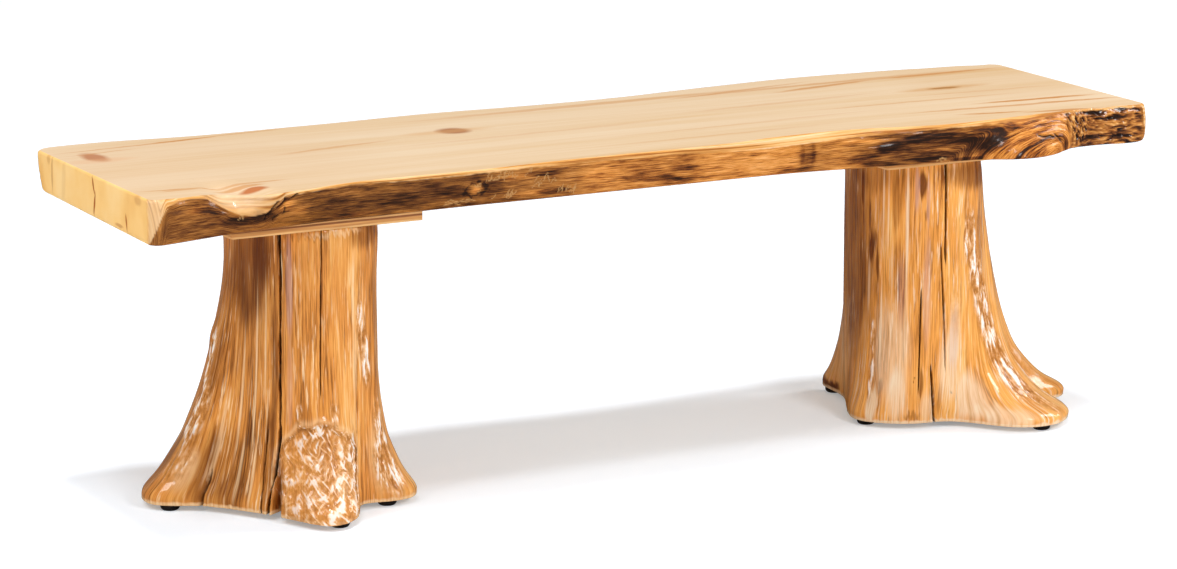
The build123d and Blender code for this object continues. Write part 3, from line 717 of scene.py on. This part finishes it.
# Rings down the stump in millimetres, each with the number of steps from the one before it.
RING_RUNS = ((CROWN, 0), (165, 74), (FOOT + FOOT_ROUND, 105))
ROUND_RINGS = 3
STUMP_MARKS = ("relief", "dark", "cream", "rough", "chip", "painted_glint", "split")
FRONT_BEARING = 242.0
FRONT_CROWDING = 1.6
SPLIT_CROWDING = 4.0
RIDGE_RADIUS = 100.0
FLUTE_HEIGHT = 1.6
RIDGE_HEIGHT = 1.3
THREAD_HEIGHT = 0.5
CHIP_RADIUS = 140.0
CHIP_HEIGHT = 1.7
CHIP_LENGTH = 26
CHIP_SLANT = 8
PAW_RIM_HEIGHT = 1.9
PAW_SINK = 1.2
LACQUER_ROUGHNESS = 0.07

# Each stump: pith (x, y), splits as ((bearing, height) points, width, depth, raggedness), and patches
# as (kind, bearing, height, half width in degrees, half height, strength).
STUMPS = {
    "left": {
        "pith": (-481.0, -28.628),
        "splits": (
            (((231.6, 400), (232, 330), (231.4, 250), (232, 107), (229, 52), (227, 0)), 2.8, 20, 1.0),
            (((257.2, 400), (256.4, 300), (255, 161)), 1.3, 9, 0.1),
            (((279.4, 219), (278, 112), (271, 30), (270, 0)), 1.4, 10, 0.2),
            (((192, 60), (191, 0)), 3.2, 22, 0.3),
            (((224, 130), (223, 60), (224, 0)), 1.5, 8, 0.6),
        ),
        # Painted shade among these: the dark patches at (205, 330) and (290, 372) under the seat, at (246,
        # 380) just under the plate, and at (180, 250) down the left flank, which is partly browner wood. The
        # glint patches are painted highlights.
        "patches": (
            ("paw", 253, 62, 25, 72, 1.0), ("rough", 243, 142, 3, 20, 0.9), ("rough", 262, 140, 4, 22, 0.9),
            ("rough", 173, 200, 7, 54, 1.4), ("rough", 178, 130, 9, 60, 1.3),
            ("rough", 180, 60, 8, 40, 0.7), ("rough", 281, 262, 4, 50, 1.0),
            ("rough", 285, 226, 6, 40, 1.4), ("rough", 288, 190, 6, 36, 1.2),
            ("rough", 300, 60, 13, 60, 1.3), ("rough", 298, 118, 7, 44, 1.1),
            ("rough", 273, 92, 5, 34, 0.9), ("bump", 166, 222, 12, 26, 3.5),
            ("dark", 205, 330, 30, 110, 1.0), ("dark", 180, 250, 34, 200, 0.2),
            ("dark", 218, 350, 12, 60, 0.5), ("dark", 228, 200, 3, 170, 0.7), ("dark", 225, 80, 5, 90, 0.8),
            ("dark", 182, 190, 6, 70, 0.5), ("dark", 181, 120, 5, 60, 0.5), ("dark", 205, 30, 12, 40, 0.4),
            ("dark", 232, 40, 6, 50, 0.5), ("dark", 302, 55, 3, 45, 0.9), ("dark", 190, 60, 4, 70, 0.5),
            ("dark", 290, 372, 22, 26, 0.8), ("dark", 210, 110, 3, 30, 0.7), ("dark", 196, 60, 22, 70, 0.5),
            ("dark", 168, 60, 8, 60, 0.5), ("dark", 246, 380, 30, 8, 0.4),
            ("cream", 213, 190, 1.1, 150, 1.0), ("cream", 221, 235, 1.0, 110, 0.8),
            ("cream", 202, 160, 1.2, 120, 0.8), ("cream", 207, 60, 1.5, 60, 0.7),
            ("cream", 192, 90, 1.5, 80, 0.5), ("cream", 216, 55, 1.2, 60, 0.9),
            ("cream", 276, 290, 1.5, 80, 0.7), ("cream", 277, 200, 3, 60, 0.6),
            ("cream", 298, 70, 13, 70, 0.6), ("cream", 262, 50, 5, 26, 0.9), ("cream", 184, 55, 4, 34, 0.5),
            ("cream", 265, 380, 26, 5, 0.6), ("painted_glint", 238, 310, 3, 90, 1.0),
            ("painted_glint", 238, 180, 2.5, 80, 0.5),
        ),
        "shades": ("#a06228", "#da8c3e", "#eca654", "#f8cc8e"),
        "pale": ("#e4ae70", "#fbd8aa"),
        "seed": 0.0,
    },
    "right": {
        "pith": (472.0, -28.628),
        "splits": (
            (((261.4, 400), (262.4, 330), (263, 240)), 2.6, 9, 0.4),
            (((259, 275), (262, 180), (265, 85)), 2.0, 12, 0.2),
            (((246, 212), (245.5, 120), (245, 52)), 1.5, 9, 0.2),
            (((253.5, 100), (256, 50), (260, 0)), 2.6, 14, 0.3),
        ),
        # Painted shade among these: the dark patches at (200, 368) and (288, 366) under the seat and at (171,
        # 250) down the left flank, which is partly browner wood. The cream patches at (268, 90) and (222,
        # 110) low down are painted reflection of the lacquer; the glint patches are painted highlights.
        "patches": (
            ("rough", 285, 272, 8, 54, 1.4), ("rough", 290, 225, 9, 50, 1.3),
            ("rough", 295, 185, 10, 50, 1.4), ("rough", 299, 145, 11, 50, 1.4),
            ("rough", 302, 105, 11, 46, 1.4), ("rough", 304, 68, 10, 40, 1.3),
            ("rough", 308, 38, 6, 30, 0.8), ("rough", 318, 60, 4, 50, 0.8), ("rough", 283, 278, 4, 30, 0.9),
            ("rough", 205, 125, 4, 44, 0.9), ("rough", 206, 70, 4, 46, 0.9),
            ("rough", 272, 170, 7, 60, 0.35), ("rough", 343, 60, 8, 50, 0.6),
            ("dark", 188, 340, 2.5, 34, 1.0), ("dark", 198, 300, 2, 30, 0.8),
            ("dark", 200, 255, 3.5, 26, 1.2), ("dark", 208, 235, 2.5, 28, 1.0),
            ("dark", 204, 268, 6, 20, 0.7), ("dark", 226, 330, 5, 60, 0.6),
            ("dark", 246, 356, 4.5, 24, 1.4), ("dark", 249, 312, 2, 14, 0.7),
            ("dark", 228, 225, 5, 70, 0.4), ("dark", 233, 150, 3, 70, 0.3),
            ("cream", 222, 110, 22, 96, 0.55), ("dark", 247, 70, 2.5, 26, 0.9),
            ("dark", 171, 250, 44, 230, 0.95), ("dark", 200, 368, 34, 40, 0.5),
            ("dark", 288, 366, 32, 30, 0.9), ("dark", 262, 370, 8, 22, 0.4), ("dark", 110, 14, 8, 12, 1.6),
            ("dark", 240, 18, 8, 10, 0.6), ("dark", 215, 60, 3, 16, 0.8), ("dark", 271, 55, 1.2, 3, 1.6),
            ("dark", 242, 72, 1.0, 3, 1.6), ("dark", 262, 45, 3, 34, 0.4), ("dark", 168, 40, 10, 40, 0.4),
            ("cream", 281, 46, 9, 50, 0.9), ("cream", 290, 22, 10, 20, 0.7), ("cream", 209, 32, 6, 34, 1.3),
            ("cream", 235, 300, 1.6, 120, 1.0), ("cream", 214, 330, 1.2, 80, 0.8),
            ("cream", 219, 310, 1.0, 90, 0.7), ("cream", 223, 230, 1.5, 60, 0.5),
            ("cream", 213, 150, 1.5, 80, 0.8), ("cream", 198, 200, 2.5, 50, 0.5),
            ("cream", 235, 160, 2, 100, 0.4), ("cream", 272, 140, 7, 60, 0.55),
            ("cream", 331, 22, 10, 14, 0.6), ("cream", 268, 90, 11, 70, 0.75),
            ("cream", 229, 50, 10, 54, 0.65), ("cream", 252, 30, 7, 34, 0.6),
            ("painted_glint", 242, 350, 2.5, 50, 1.0), ("painted_glint", 250, 330, 1.8, 50, 0.8),
            ("painted_glint", 250, 200, 4, 110, 0.7), ("painted_glint", 271, 130, 6, 70, 0.6),
            ("painted_glint", 231, 200, 4, 70, 0.5),
        ),
        "shades": ("#b8742e", "#e69a46", "#f4b05c", "#fad292"),
        "pale": ("#e6b886", "#f6dcbc"),
        "seed": 40.0,
    },
}


def turn_between(a, b):
    """Signed difference of two bearings in degrees."""
    return (a - b + 180) % 360 - 180


def crowded_bearings(splits):
    """Bearings of the mesh columns, closer together at the front and closest beside the splits."""
    fine = []
    for step in range(BEARING_STEPS):
        bearing = step * 360 / BEARING_STEPS
        weight = 1 + FRONT_CROWDING * smooth(110, 75, abs(turn_between(bearing, FRONT_BEARING)))
        for line, _, _, _ in splits:
            middle = sum(point[0] for point in line) / len(line)
            weight += SPLIT_CROWDING * smooth(5, 2, abs(turn_between(bearing, middle)))
        fine.append((fine[-1][0] + weight if fine else weight, bearing))
    total = fine[-1][0]
    sums = [item[0] for item in fine]
    shares = [(column + 0.5) / STUMP_COLUMNS * total for column in range(STUMP_COLUMNS)]
    return [fine[min(bisect.bisect_left(sums, share), BEARING_STEPS - 1)][1] for share in shares]


def trunk_radii(surface, pith):
    """Radii of the CAD trunk by level and degree, with its narrow splits closed over."""
    table = []
    levels = int((CROWN - FOOT) / LOOK_STEP) + 1
    for level in range(levels):
        z = (FOOT + (CROWN - FOOT) * level / (levels - 1)) / 1000
        z = min(max(z, FOOT / 1000 + LOOK_ABOVE_FOOT / 1000), CROWN / 1000 - LOOK_BELOW_CROWN / 1000)
        circle = []
        for bearing in range(360):
            way = Vector((math.cos(math.radians(bearing)), math.sin(math.radians(bearing)), 0))
            start = Vector((pith[0] / 1000, pith[1] / 1000, z)) + way * LOOK_FROM
            hit = surface.ray_cast(start, -way)[0]
            circle.append((Vector((hit.x, hit.y)) - Vector(pith) / 1000).length * 1000)
        for _ in range(2):
            circle = [sorted(circle[(b + k) % 360] for k in range(-2, 3))[2] for b in range(360)]
        circle = [sum(circle[(b + k) % 360] for k in (-1, 0, 1)) / 3 for b in range(360)]
        table.append(circle)
    return table


def radius_at(table, bearing, z):
    """Radius of the closed trunk between the table's places."""
    row = min(max((z - FOOT) / (CROWN - FOOT) * (len(table) - 1), 0), len(table) - 1.001)
    low, up = int(row), row - int(row)
    left, on = int(bearing) % 360, bearing - math.floor(bearing)
    right = (left + 1) % 360
    a = table[low][left] * (1 - on) + table[low][right] * on
    b = table[low + 1][left] * (1 - on) + table[low + 1][right] * on
    return a * (1 - up) + b * up


def bark_marks(stump, bearing, z, radius):
    """How the bark side stands out at a bearing and height, with its marks."""
    marks = {"dark": 0.0, "cream": 0.0, "rough": 0.0, "painted_glint": 0.0, "chip": 0.0}
    seed = stump["seed"]
    out = 0.0
    crossing = 0.0
    # Patches: the paw is a chipped lobe with a raised rim, a dark line just inside its upper half and a cream
    # line on it, and the other marks have frayed ends.
    fray = 3.0 * rumple(bearing / 1.5, z / 40, seed + 11)
    for kind, at, height, half_turn, half_height, strength in stump["patches"]:
        aside = turn_between(bearing, at)
        if abs(aside) > half_turn * 1.4 or abs(z - height) > half_height * 1.4:
            continue
        if kind == "paw":
            sway = rumple(bearing / 6, z / 26, seed + 13)
            reach = math.hypot(aside / half_turn, (z - height) / half_height) + 0.08 * sway
            inside = 1 - smooth(0.88, 1.0, reach)
            upper = smooth(-30, 30, z - height)
            marks["rough"] += strength * inside
            marks["rough"] *= 0.75 + 0.25 * smooth(-10, -2, aside)
            marks["dark"] += 0.7 * math.exp(-((reach - 0.87) / 0.035) ** 2) * upper
            marks["cream"] += 0.5 * math.exp(-((reach - 0.97) / 0.05) ** 2) * upper
            out += PAW_RIM_HEIGHT * math.exp(-((reach - 0.97) / 0.08) ** 2) * upper - PAW_SINK * inside
            crossing = inside
        elif kind == "bump":
            out += strength * spot(aside, z, 0, height, half_turn, half_height)
        else:
            there = spot(aside, z + 4 * fray, 0, height, half_turn, half_height)
            marks[kind] += strength * min(1.0, 1.8 * there)
    # Flutes, ridges and fine threads down the trunk, calmer under the cream patches.
    angle = math.radians(bearing + 0.8 * rumple(bearing / 20, z / 80, seed))
    c, s = math.cos(angle) * RIDGE_RADIUS, math.sin(angle) * RIDGE_RADIUS
    flute = rumple(c / 24, s / 24, z / 300 + seed)
    ridge = rumple(c / 8, s / 8, z / 240 + seed + 3)
    thread = rumple(c / 2.8, s / 2.8, z / 110 + seed + 7)
    calm = 1 - 0.7 * min(1.0, marks["cream"])
    relief = (0.4 * flute + 0.9 * ridge + 0.7 * thread) * calm
    out += FLUTE_HEIGHT * flute + calm * (RIDGE_HEIGHT * ridge + THREAD_HEIGHT * thread)
    # Chips: short slanted strokes that cross each other on the paw.
    rough = min(1.0, marks["rough"])
    if rough > 0.02:
        arc = math.radians(bearing) * CHIP_RADIUS
        tall = z + 4 * crossing * rumple(arc / 17, z / 17, seed + 17)
        arc += 3.5 * crossing * rumple(arc / 15, z / 19, seed + 19)
        slant = math.radians(CHIP_SLANT + 22 * crossing)
        long = CHIP_LENGTH - 12 * crossing
        up, over = math.cos(slant), math.sin(slant)
        strokes = max(
            rumple((up * arc + over * tall) / 2.4, (up * tall - over * arc) / long, seed + 21),
            rumple((up * arc - over * tall) / 2.4, (up * tall + over * arc) / long, seed + 25),
        )
        facets = rumple(arc / 10, z / (long + 2), seed + 30)
        chips = 1.9 * strokes + 1.4 * facets - 0.12
        out += CHIP_HEIGHT * rough * chips
        marks["chip"] = rough * max(0.0, chips)
    # Drying splits, ragged and narrowing to their ends.
    split = 0.0
    for line, width, depth, ragged in stump["splits"]:
        low, high = line[-1][1], line[0][1]
        if low - 6 <= z <= high:
            path_line = [(height, at) for at, height in reversed(line)]
            wander = ragged * (0.5 * rumple(z / 40, depth, seed) + 0.3 * rumple(z / 9, depth, seed))
            wide = width * (1 + 0.8 * ragged * rumple(z / 30, depth + 5, seed))
            aside = abs(turn_between(bearing, along_line(path_line, z) + wander))
            aside = aside * math.radians(1) * radius
            ends = smooth(low - 6, low + 20, z) if low > 0 else 1.0
            ends *= smooth(high, high - 24, z) if high < CROWN else 1.0
            inside = 1 - smooth(0.3, 1.0, aside / (max(wide, 0.8) * (0.3 + 0.7 * ends) * 0.8))
            split = max(split, inside * min(1.0, ends * 2))
            out -= depth * inside * ends
    marks["relief"] = relief
    marks["split"] = split
    return out, marks


def fine_lines(tree, place, size):
    """Thin lines, 1 along the crests of a pattern stretched down the trunk."""
    crests = wood_pattern(tree, place, size, 3, 0.6)
    return node(tree, "ShaderNodeMapRange", {"Value": crests, "From Min": 0.56, "From Max": 0.66}).outputs[0]


def stump_material(name, shades, pale_shades):
    """Hand-peeled, gloss-lacquered softwood: gold to orange fibre lines, brown in the valleys where shade is
    painted in.
    """
    material, tree, out = new_material(name)
    mark = {
        key: node(tree, "ShaderNodeAttribute", attribute_name=key).outputs["Fac"]
        for key in STUMP_MARKS
    }
    place = node(tree, "ShaderNodeAttribute", attribute_name="grain").outputs["Vector"]
    own = node(tree, "ShaderNodeTexCoord").outputs["Object"]
    threads = wood_pattern(tree, place, (1.42857, 1.42857, 55.556), 3, 0.6)
    bands = wood_pattern(tree, place, (29.412, 29.412, 200), 3, 0.55)
    # The relief lightens the crests and darkens the valleys a little: painted light and shade. The dark marks
    # darken the tone as stains and painted shade.
    tone = summed(
        tree, -0.72, ((threads, 1.25), (bands, 1.2), (mark["relief"], 0.04), (mark["dark"], -0.18)),
    )
    wood = node(
        tree, "ShaderNodeValToRGB", {"Fac": tone},
        stops=((0.0, "#4a260c"), (0.2, shades[0]), (0.42, shades[1]), (0.66, shades[2]), (0.98, shades[3])),
    ).outputs[0]
    # The drawknife's strokes decide where the fibre lines show.
    drawn = wood_pattern(tree, own, (58.824, 58.824, 125), 2, 0.5)
    drawn = node(
        tree, "ShaderNodeMapRange", {"Value": drawn, "From Min": 0.42, "From Max": 0.6, "To Min": 0.2}
    ).outputs[0]
    dark_share = summed(tree, 0.0, ((drawn, 0.75), (mark["dark"], 0.4)))
    pale_share = summed(tree, 0.0, ((drawn, 1.0), (mark["dark"], -0.6)))
    pale = node(
        tree, "ShaderNodeValToRGB", {"Fac": threads}, stops=((0.3, pale_shades[0]), (0.55, pale_shades[1]))
    ).outputs[0]
    # Chipped wood from brown to cream; its near-white top is a painted highlight on the chip crests.
    flakes = wood_pattern(tree, own, (6.25, 6.25, 9.0909), 3, 0.6)
    chips_and_painted_glints = node(
        tree, "ShaderNodeValToRGB", {"Fac": summed(tree, -0.25, ((flakes, 0.9), (mark["chip"], 0.7)))},
        stops=((0.0, "#94581f"), (0.26, "#cc8844"), (0.5, "#eebf8e"), (0.76, "#fff8f0")),
    ).outputs[0]
    # Each mark lies over the ones before it: its share, what that is multiplied by, and its shade. The dark
    # marks are stains and painted shade, the cream and chipped coats carry some painted reflection, and
    # the glint coat is a painted highlight.
    for share, factor, shade in (
        # stains, and painted shade under the seat and down the left flanks
        (mark["dark"], 0.6, "#6a3404"),
        (fine_lines(tree, place, (3.0303, 3.0303, 76.923)), dark_share, "#87490f"),
        (fine_lines(tree, place, (2.27273, 2.27273, 58.824)), pale_share, pale_shades[1]),
        (mark["cream"], 0.85, pale),
        (mark["rough"], 0.75, chips_and_painted_glints),
        # painted highlight: pinkish glints of a softbox in the lacquer, painted into the colour
        (mark["painted_glint"], threads, "#c49c96"),
        (mark["split"], 1.0, "#150a04"),
    ):
        part = node(
            tree, "ShaderNodeMath", {0: share, 1: factor}, operation="MULTIPLY", use_clamp=True
        ).outputs[0]
        wood = node(tree, "ShaderNodeMix", {"Factor": part, 6: wood, 7: shade}, data_type="RGBA").outputs[2]
    bump = node(tree, "ShaderNodeBump", {"Height": threads, "Strength": 0.35, "Distance": 0.0012})
    finish = node(
        tree, "ShaderNodeBsdfPrincipled",
        {
            "Base Color": wood, "Roughness": 0.42, "Coat Weight": 0.75, "Coat Roughness": LACQUER_ROUGHNESS,
            "Specular IOR Level": 0.12, "Normal": bump.outputs[0],
        },
    )
    tree.links.new(finish.outputs[0], out.inputs["Surface"])
    return material


heights = [RING_RUNS[0][0]]
for reach, steps in RING_RUNS[1:]:
    start = heights[-1]
    heights += [start + (reach - start) * (k + 1) / steps for k in range(steps)]
for side, stump in STUMPS.items():
    surface = tree_of(f"{side}_stump")
    table = trunk_radii(surface, stump["pith"])
    columns = crowded_bearings(stump["splits"])
    rings = len(heights) - 1 + ROUND_RINGS
    body = bmesh.new()
    bmesh.ops.create_cone(body, cap_ends=True, segments=STUMP_COLUMNS, radius1=1, radius2=1, depth=2)
    lines = [e for e in body.edges if abs(e.verts[0].co.z - e.verts[1].co.z) > 1e-6]
    bmesh.ops.subdivide_edges(body, edges=lines, cuts=rings - 1, use_grid_fill=True)
    layers = {key: [] for key in STUMP_MARKS}
    grains = []
    for vertex in body.verts:
        around = math.degrees(math.atan2(vertex.co.y, vertex.co.x)) / 360
        column = round(around * STUMP_COLUMNS) % STUMP_COLUMNS
        bearing = columns[column]
        ring = round((1 - vertex.co.z) / 2 * rings)
        inset = 0.0
        if ring < len(heights):
            z = heights[ring]
        else:
            turn = math.radians(90 / ROUND_RINGS * (ring - len(heights) + 1))
            z = FOOT + FOOT_ROUND * (1 - math.sin(turn))
            inset = FOOT_ROUND * (1 - math.cos(turn))
        radius = radius_at(table, bearing, z)
        out, marks = bark_marks(stump, bearing, z, radius)
        rim = 1 - smooth(3.0, 6.0, z - FOOT + 3 * rumple(bearing / 3, 0, stump["seed"]))
        marks["cream"] = max(marks["cream"], rim)
        marks["dark"] *= 1 - rim
        out *= 0.4 + 0.6 * smooth(FOOT, FOOT + 8, z)
        reach = (radius + out - inset) / 1000
        way = math.radians(bearing)
        centre = Vector(stump["pith"]) / 1000
        vertex.co = (centre.x + reach * math.cos(way), centre.y + reach * math.sin(way), z / 1000)
        grains.append((0.1 * math.cos(way), 0.1 * math.sin(way), z / 1000))
        for key in layers:
            layers[key].append(marks[key])
    wood = stump_material(f"hand-peeled {side} stump, gloss lacquer", stump["shades"], stump["pale"])
    piece = new_piece(f"{side}_root_stump", body, wood)
    give(piece.data, grain=grains, **layers)
    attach(piece, "bench")
    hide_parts(f"{side}_stump")


# ---------------------------------------------------------------- mounting plates
# Raw 13 mm plywood between the seat and each stump, sawn square with small round corners. It is screwed
# down into the stump and up into the slab, and its edges show light and dark plies.

PLATE_BOTTOM = 0.385
PLATE_TOP = 0.398

plywood, tree, out = new_material("raw birch-faced plywood, sawn edges")
# Pale face veneers over alternating plies: the edge reads as a light, a dark and a light line.
own = node(tree, "ShaderNodeTexCoord").outputs["Object"]
parts = node(tree, "ShaderNodeSeparateXYZ", {0: own})
height = node(
    tree, "ShaderNodeMapRange", {"Value": parts.outputs["Z"], "From Min": PLATE_BOTTOM, "From Max": PLATE_TOP}
)
plies = node(
    tree, "ShaderNodeValToRGB", {"Fac": height.outputs[0]},
    stops=(
        (0.0, "#e2b272"), (0.16, "#e2b272"), (0.22, "#c98d4c"), (0.5, "#d09654"), (0.55, "#8a5226"),
        (0.7, "#8f5628"), (0.76, "#dcaa6c"), (1.0, "#e6bb80"),
    ),
)
fuzz = wood_pattern(tree, own, (83.333, 6.25, 1.1111), 4, 0.5)
shade = node(tree, "ShaderNodeValToRGB", {"Fac": fuzz}, stops=((0.3, "#b98a5a"), (0.6, "#ffffff")))
face = node(
    tree, "ShaderNodeMix", {"Factor": 0.5, 6: plies.outputs[0], 7: shade.outputs[0]},
    data_type="RGBA", blend_type="MULTIPLY",
)
bump = node(tree, "ShaderNodeBump", {"Height": fuzz, "Strength": 0.3, "Distance": 0.0004})
finish = node(
    tree, "ShaderNodeBsdfPrincipled",
    {"Base Color": face.outputs[2], "Roughness": 0.7, "Normal": bump.outputs[0]},
)
tree.links.new(finish.outputs[0], out.inputs["Surface"])


def finish_cad(material, endings):
    """Gives the CAD pieces whose names end so their material."""
    for name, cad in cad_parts.items():
        if name.endswith(endings):
            if not cad.data.materials:
                cad.data.materials.append(material)
            for index in range(len(cad.data.materials)):
                cad.data.materials[index] = material


finish_cad(plywood, ("plate",))


# ---------------------------------------------------------------- screws, washers and levelling inserts
# Turned and rolled steel hardware: wood screws with their washers, threaded inserts under the roots and
# the stems of the glides. It is zinc plated, bright where it is clean and dulled in fine patches.

PATINA_GRAIN = 1.1111

zinc, tree, out = new_material("bright zinc-plated steel")
own = node(tree, "ShaderNodeTexCoord")
patina = node(
    tree, "ShaderNodeTexNoise", {"Vector": own.outputs["Object"], "Scale": 1000 / PATINA_GRAIN, "Detail": 4}
)
tint = node(
    tree, "ShaderNodeValToRGB", {"Fac": patina.outputs["Fac"]},
    stops=((0.3, "#a9a9a2"), (0.55, "#c9cbcc"), (0.8, "#d8d8d2")),
)
dull = node(
    tree, "ShaderNodeMapRange", {"Value": patina.outputs["Fac"], "To Min": 0.22, "To Max": 0.45}
)
finish = node(
    tree, "ShaderNodeBsdfPrincipled",
    {"Base Color": tint.outputs[0], "Metallic": 1.0, "Roughness": dull.outputs[0]},
)
tree.links.new(finish.outputs[0], out.inputs["Surface"])
finish_cad(zinc, ("screws", "washers", "inserts", "stem"))


# ---------------------------------------------------------------- glide pads
# Round injection-moulded plastic feet, each clipped over the head of its stem. They are near black with
# a brown cast and a little dust. Their moulded texture is drawn coarser than it is, so that it shows.

MOULD_GRAIN = 0.625
DUST_PATCH = 8.3333

plastic, tree, out = new_material("moulded dark brown-black plastic")
own = node(tree, "ShaderNodeTexCoord")
grain = node(
    tree, "ShaderNodeTexNoise", {"Vector": own.outputs["Object"], "Scale": 1000 / MOULD_GRAIN, "Detail": 3}
)
dust = node(
    tree, "ShaderNodeTexNoise", {"Vector": own.outputs["Object"], "Scale": 1000 / DUST_PATCH, "Detail": 3}
)
tint = node(
    tree, "ShaderNodeValToRGB", {"Fac": dust.outputs["Fac"]}, stops=((0.35, "#17110f"), (0.7, "#2a211e"))
)
bump = node(tree, "ShaderNodeBump", {"Height": grain.outputs["Fac"], "Strength": 0.25, "Distance": 0.0002})
finish = node(
    tree, "ShaderNodeBsdfPrincipled",
    {"Base Color": tint.outputs[0], "Roughness": 0.38, "Normal": bump.outputs[0]},
)
tree.links.new(finish.outputs[0], out.inputs["Surface"])
finish_cad(plastic, ("pad",))
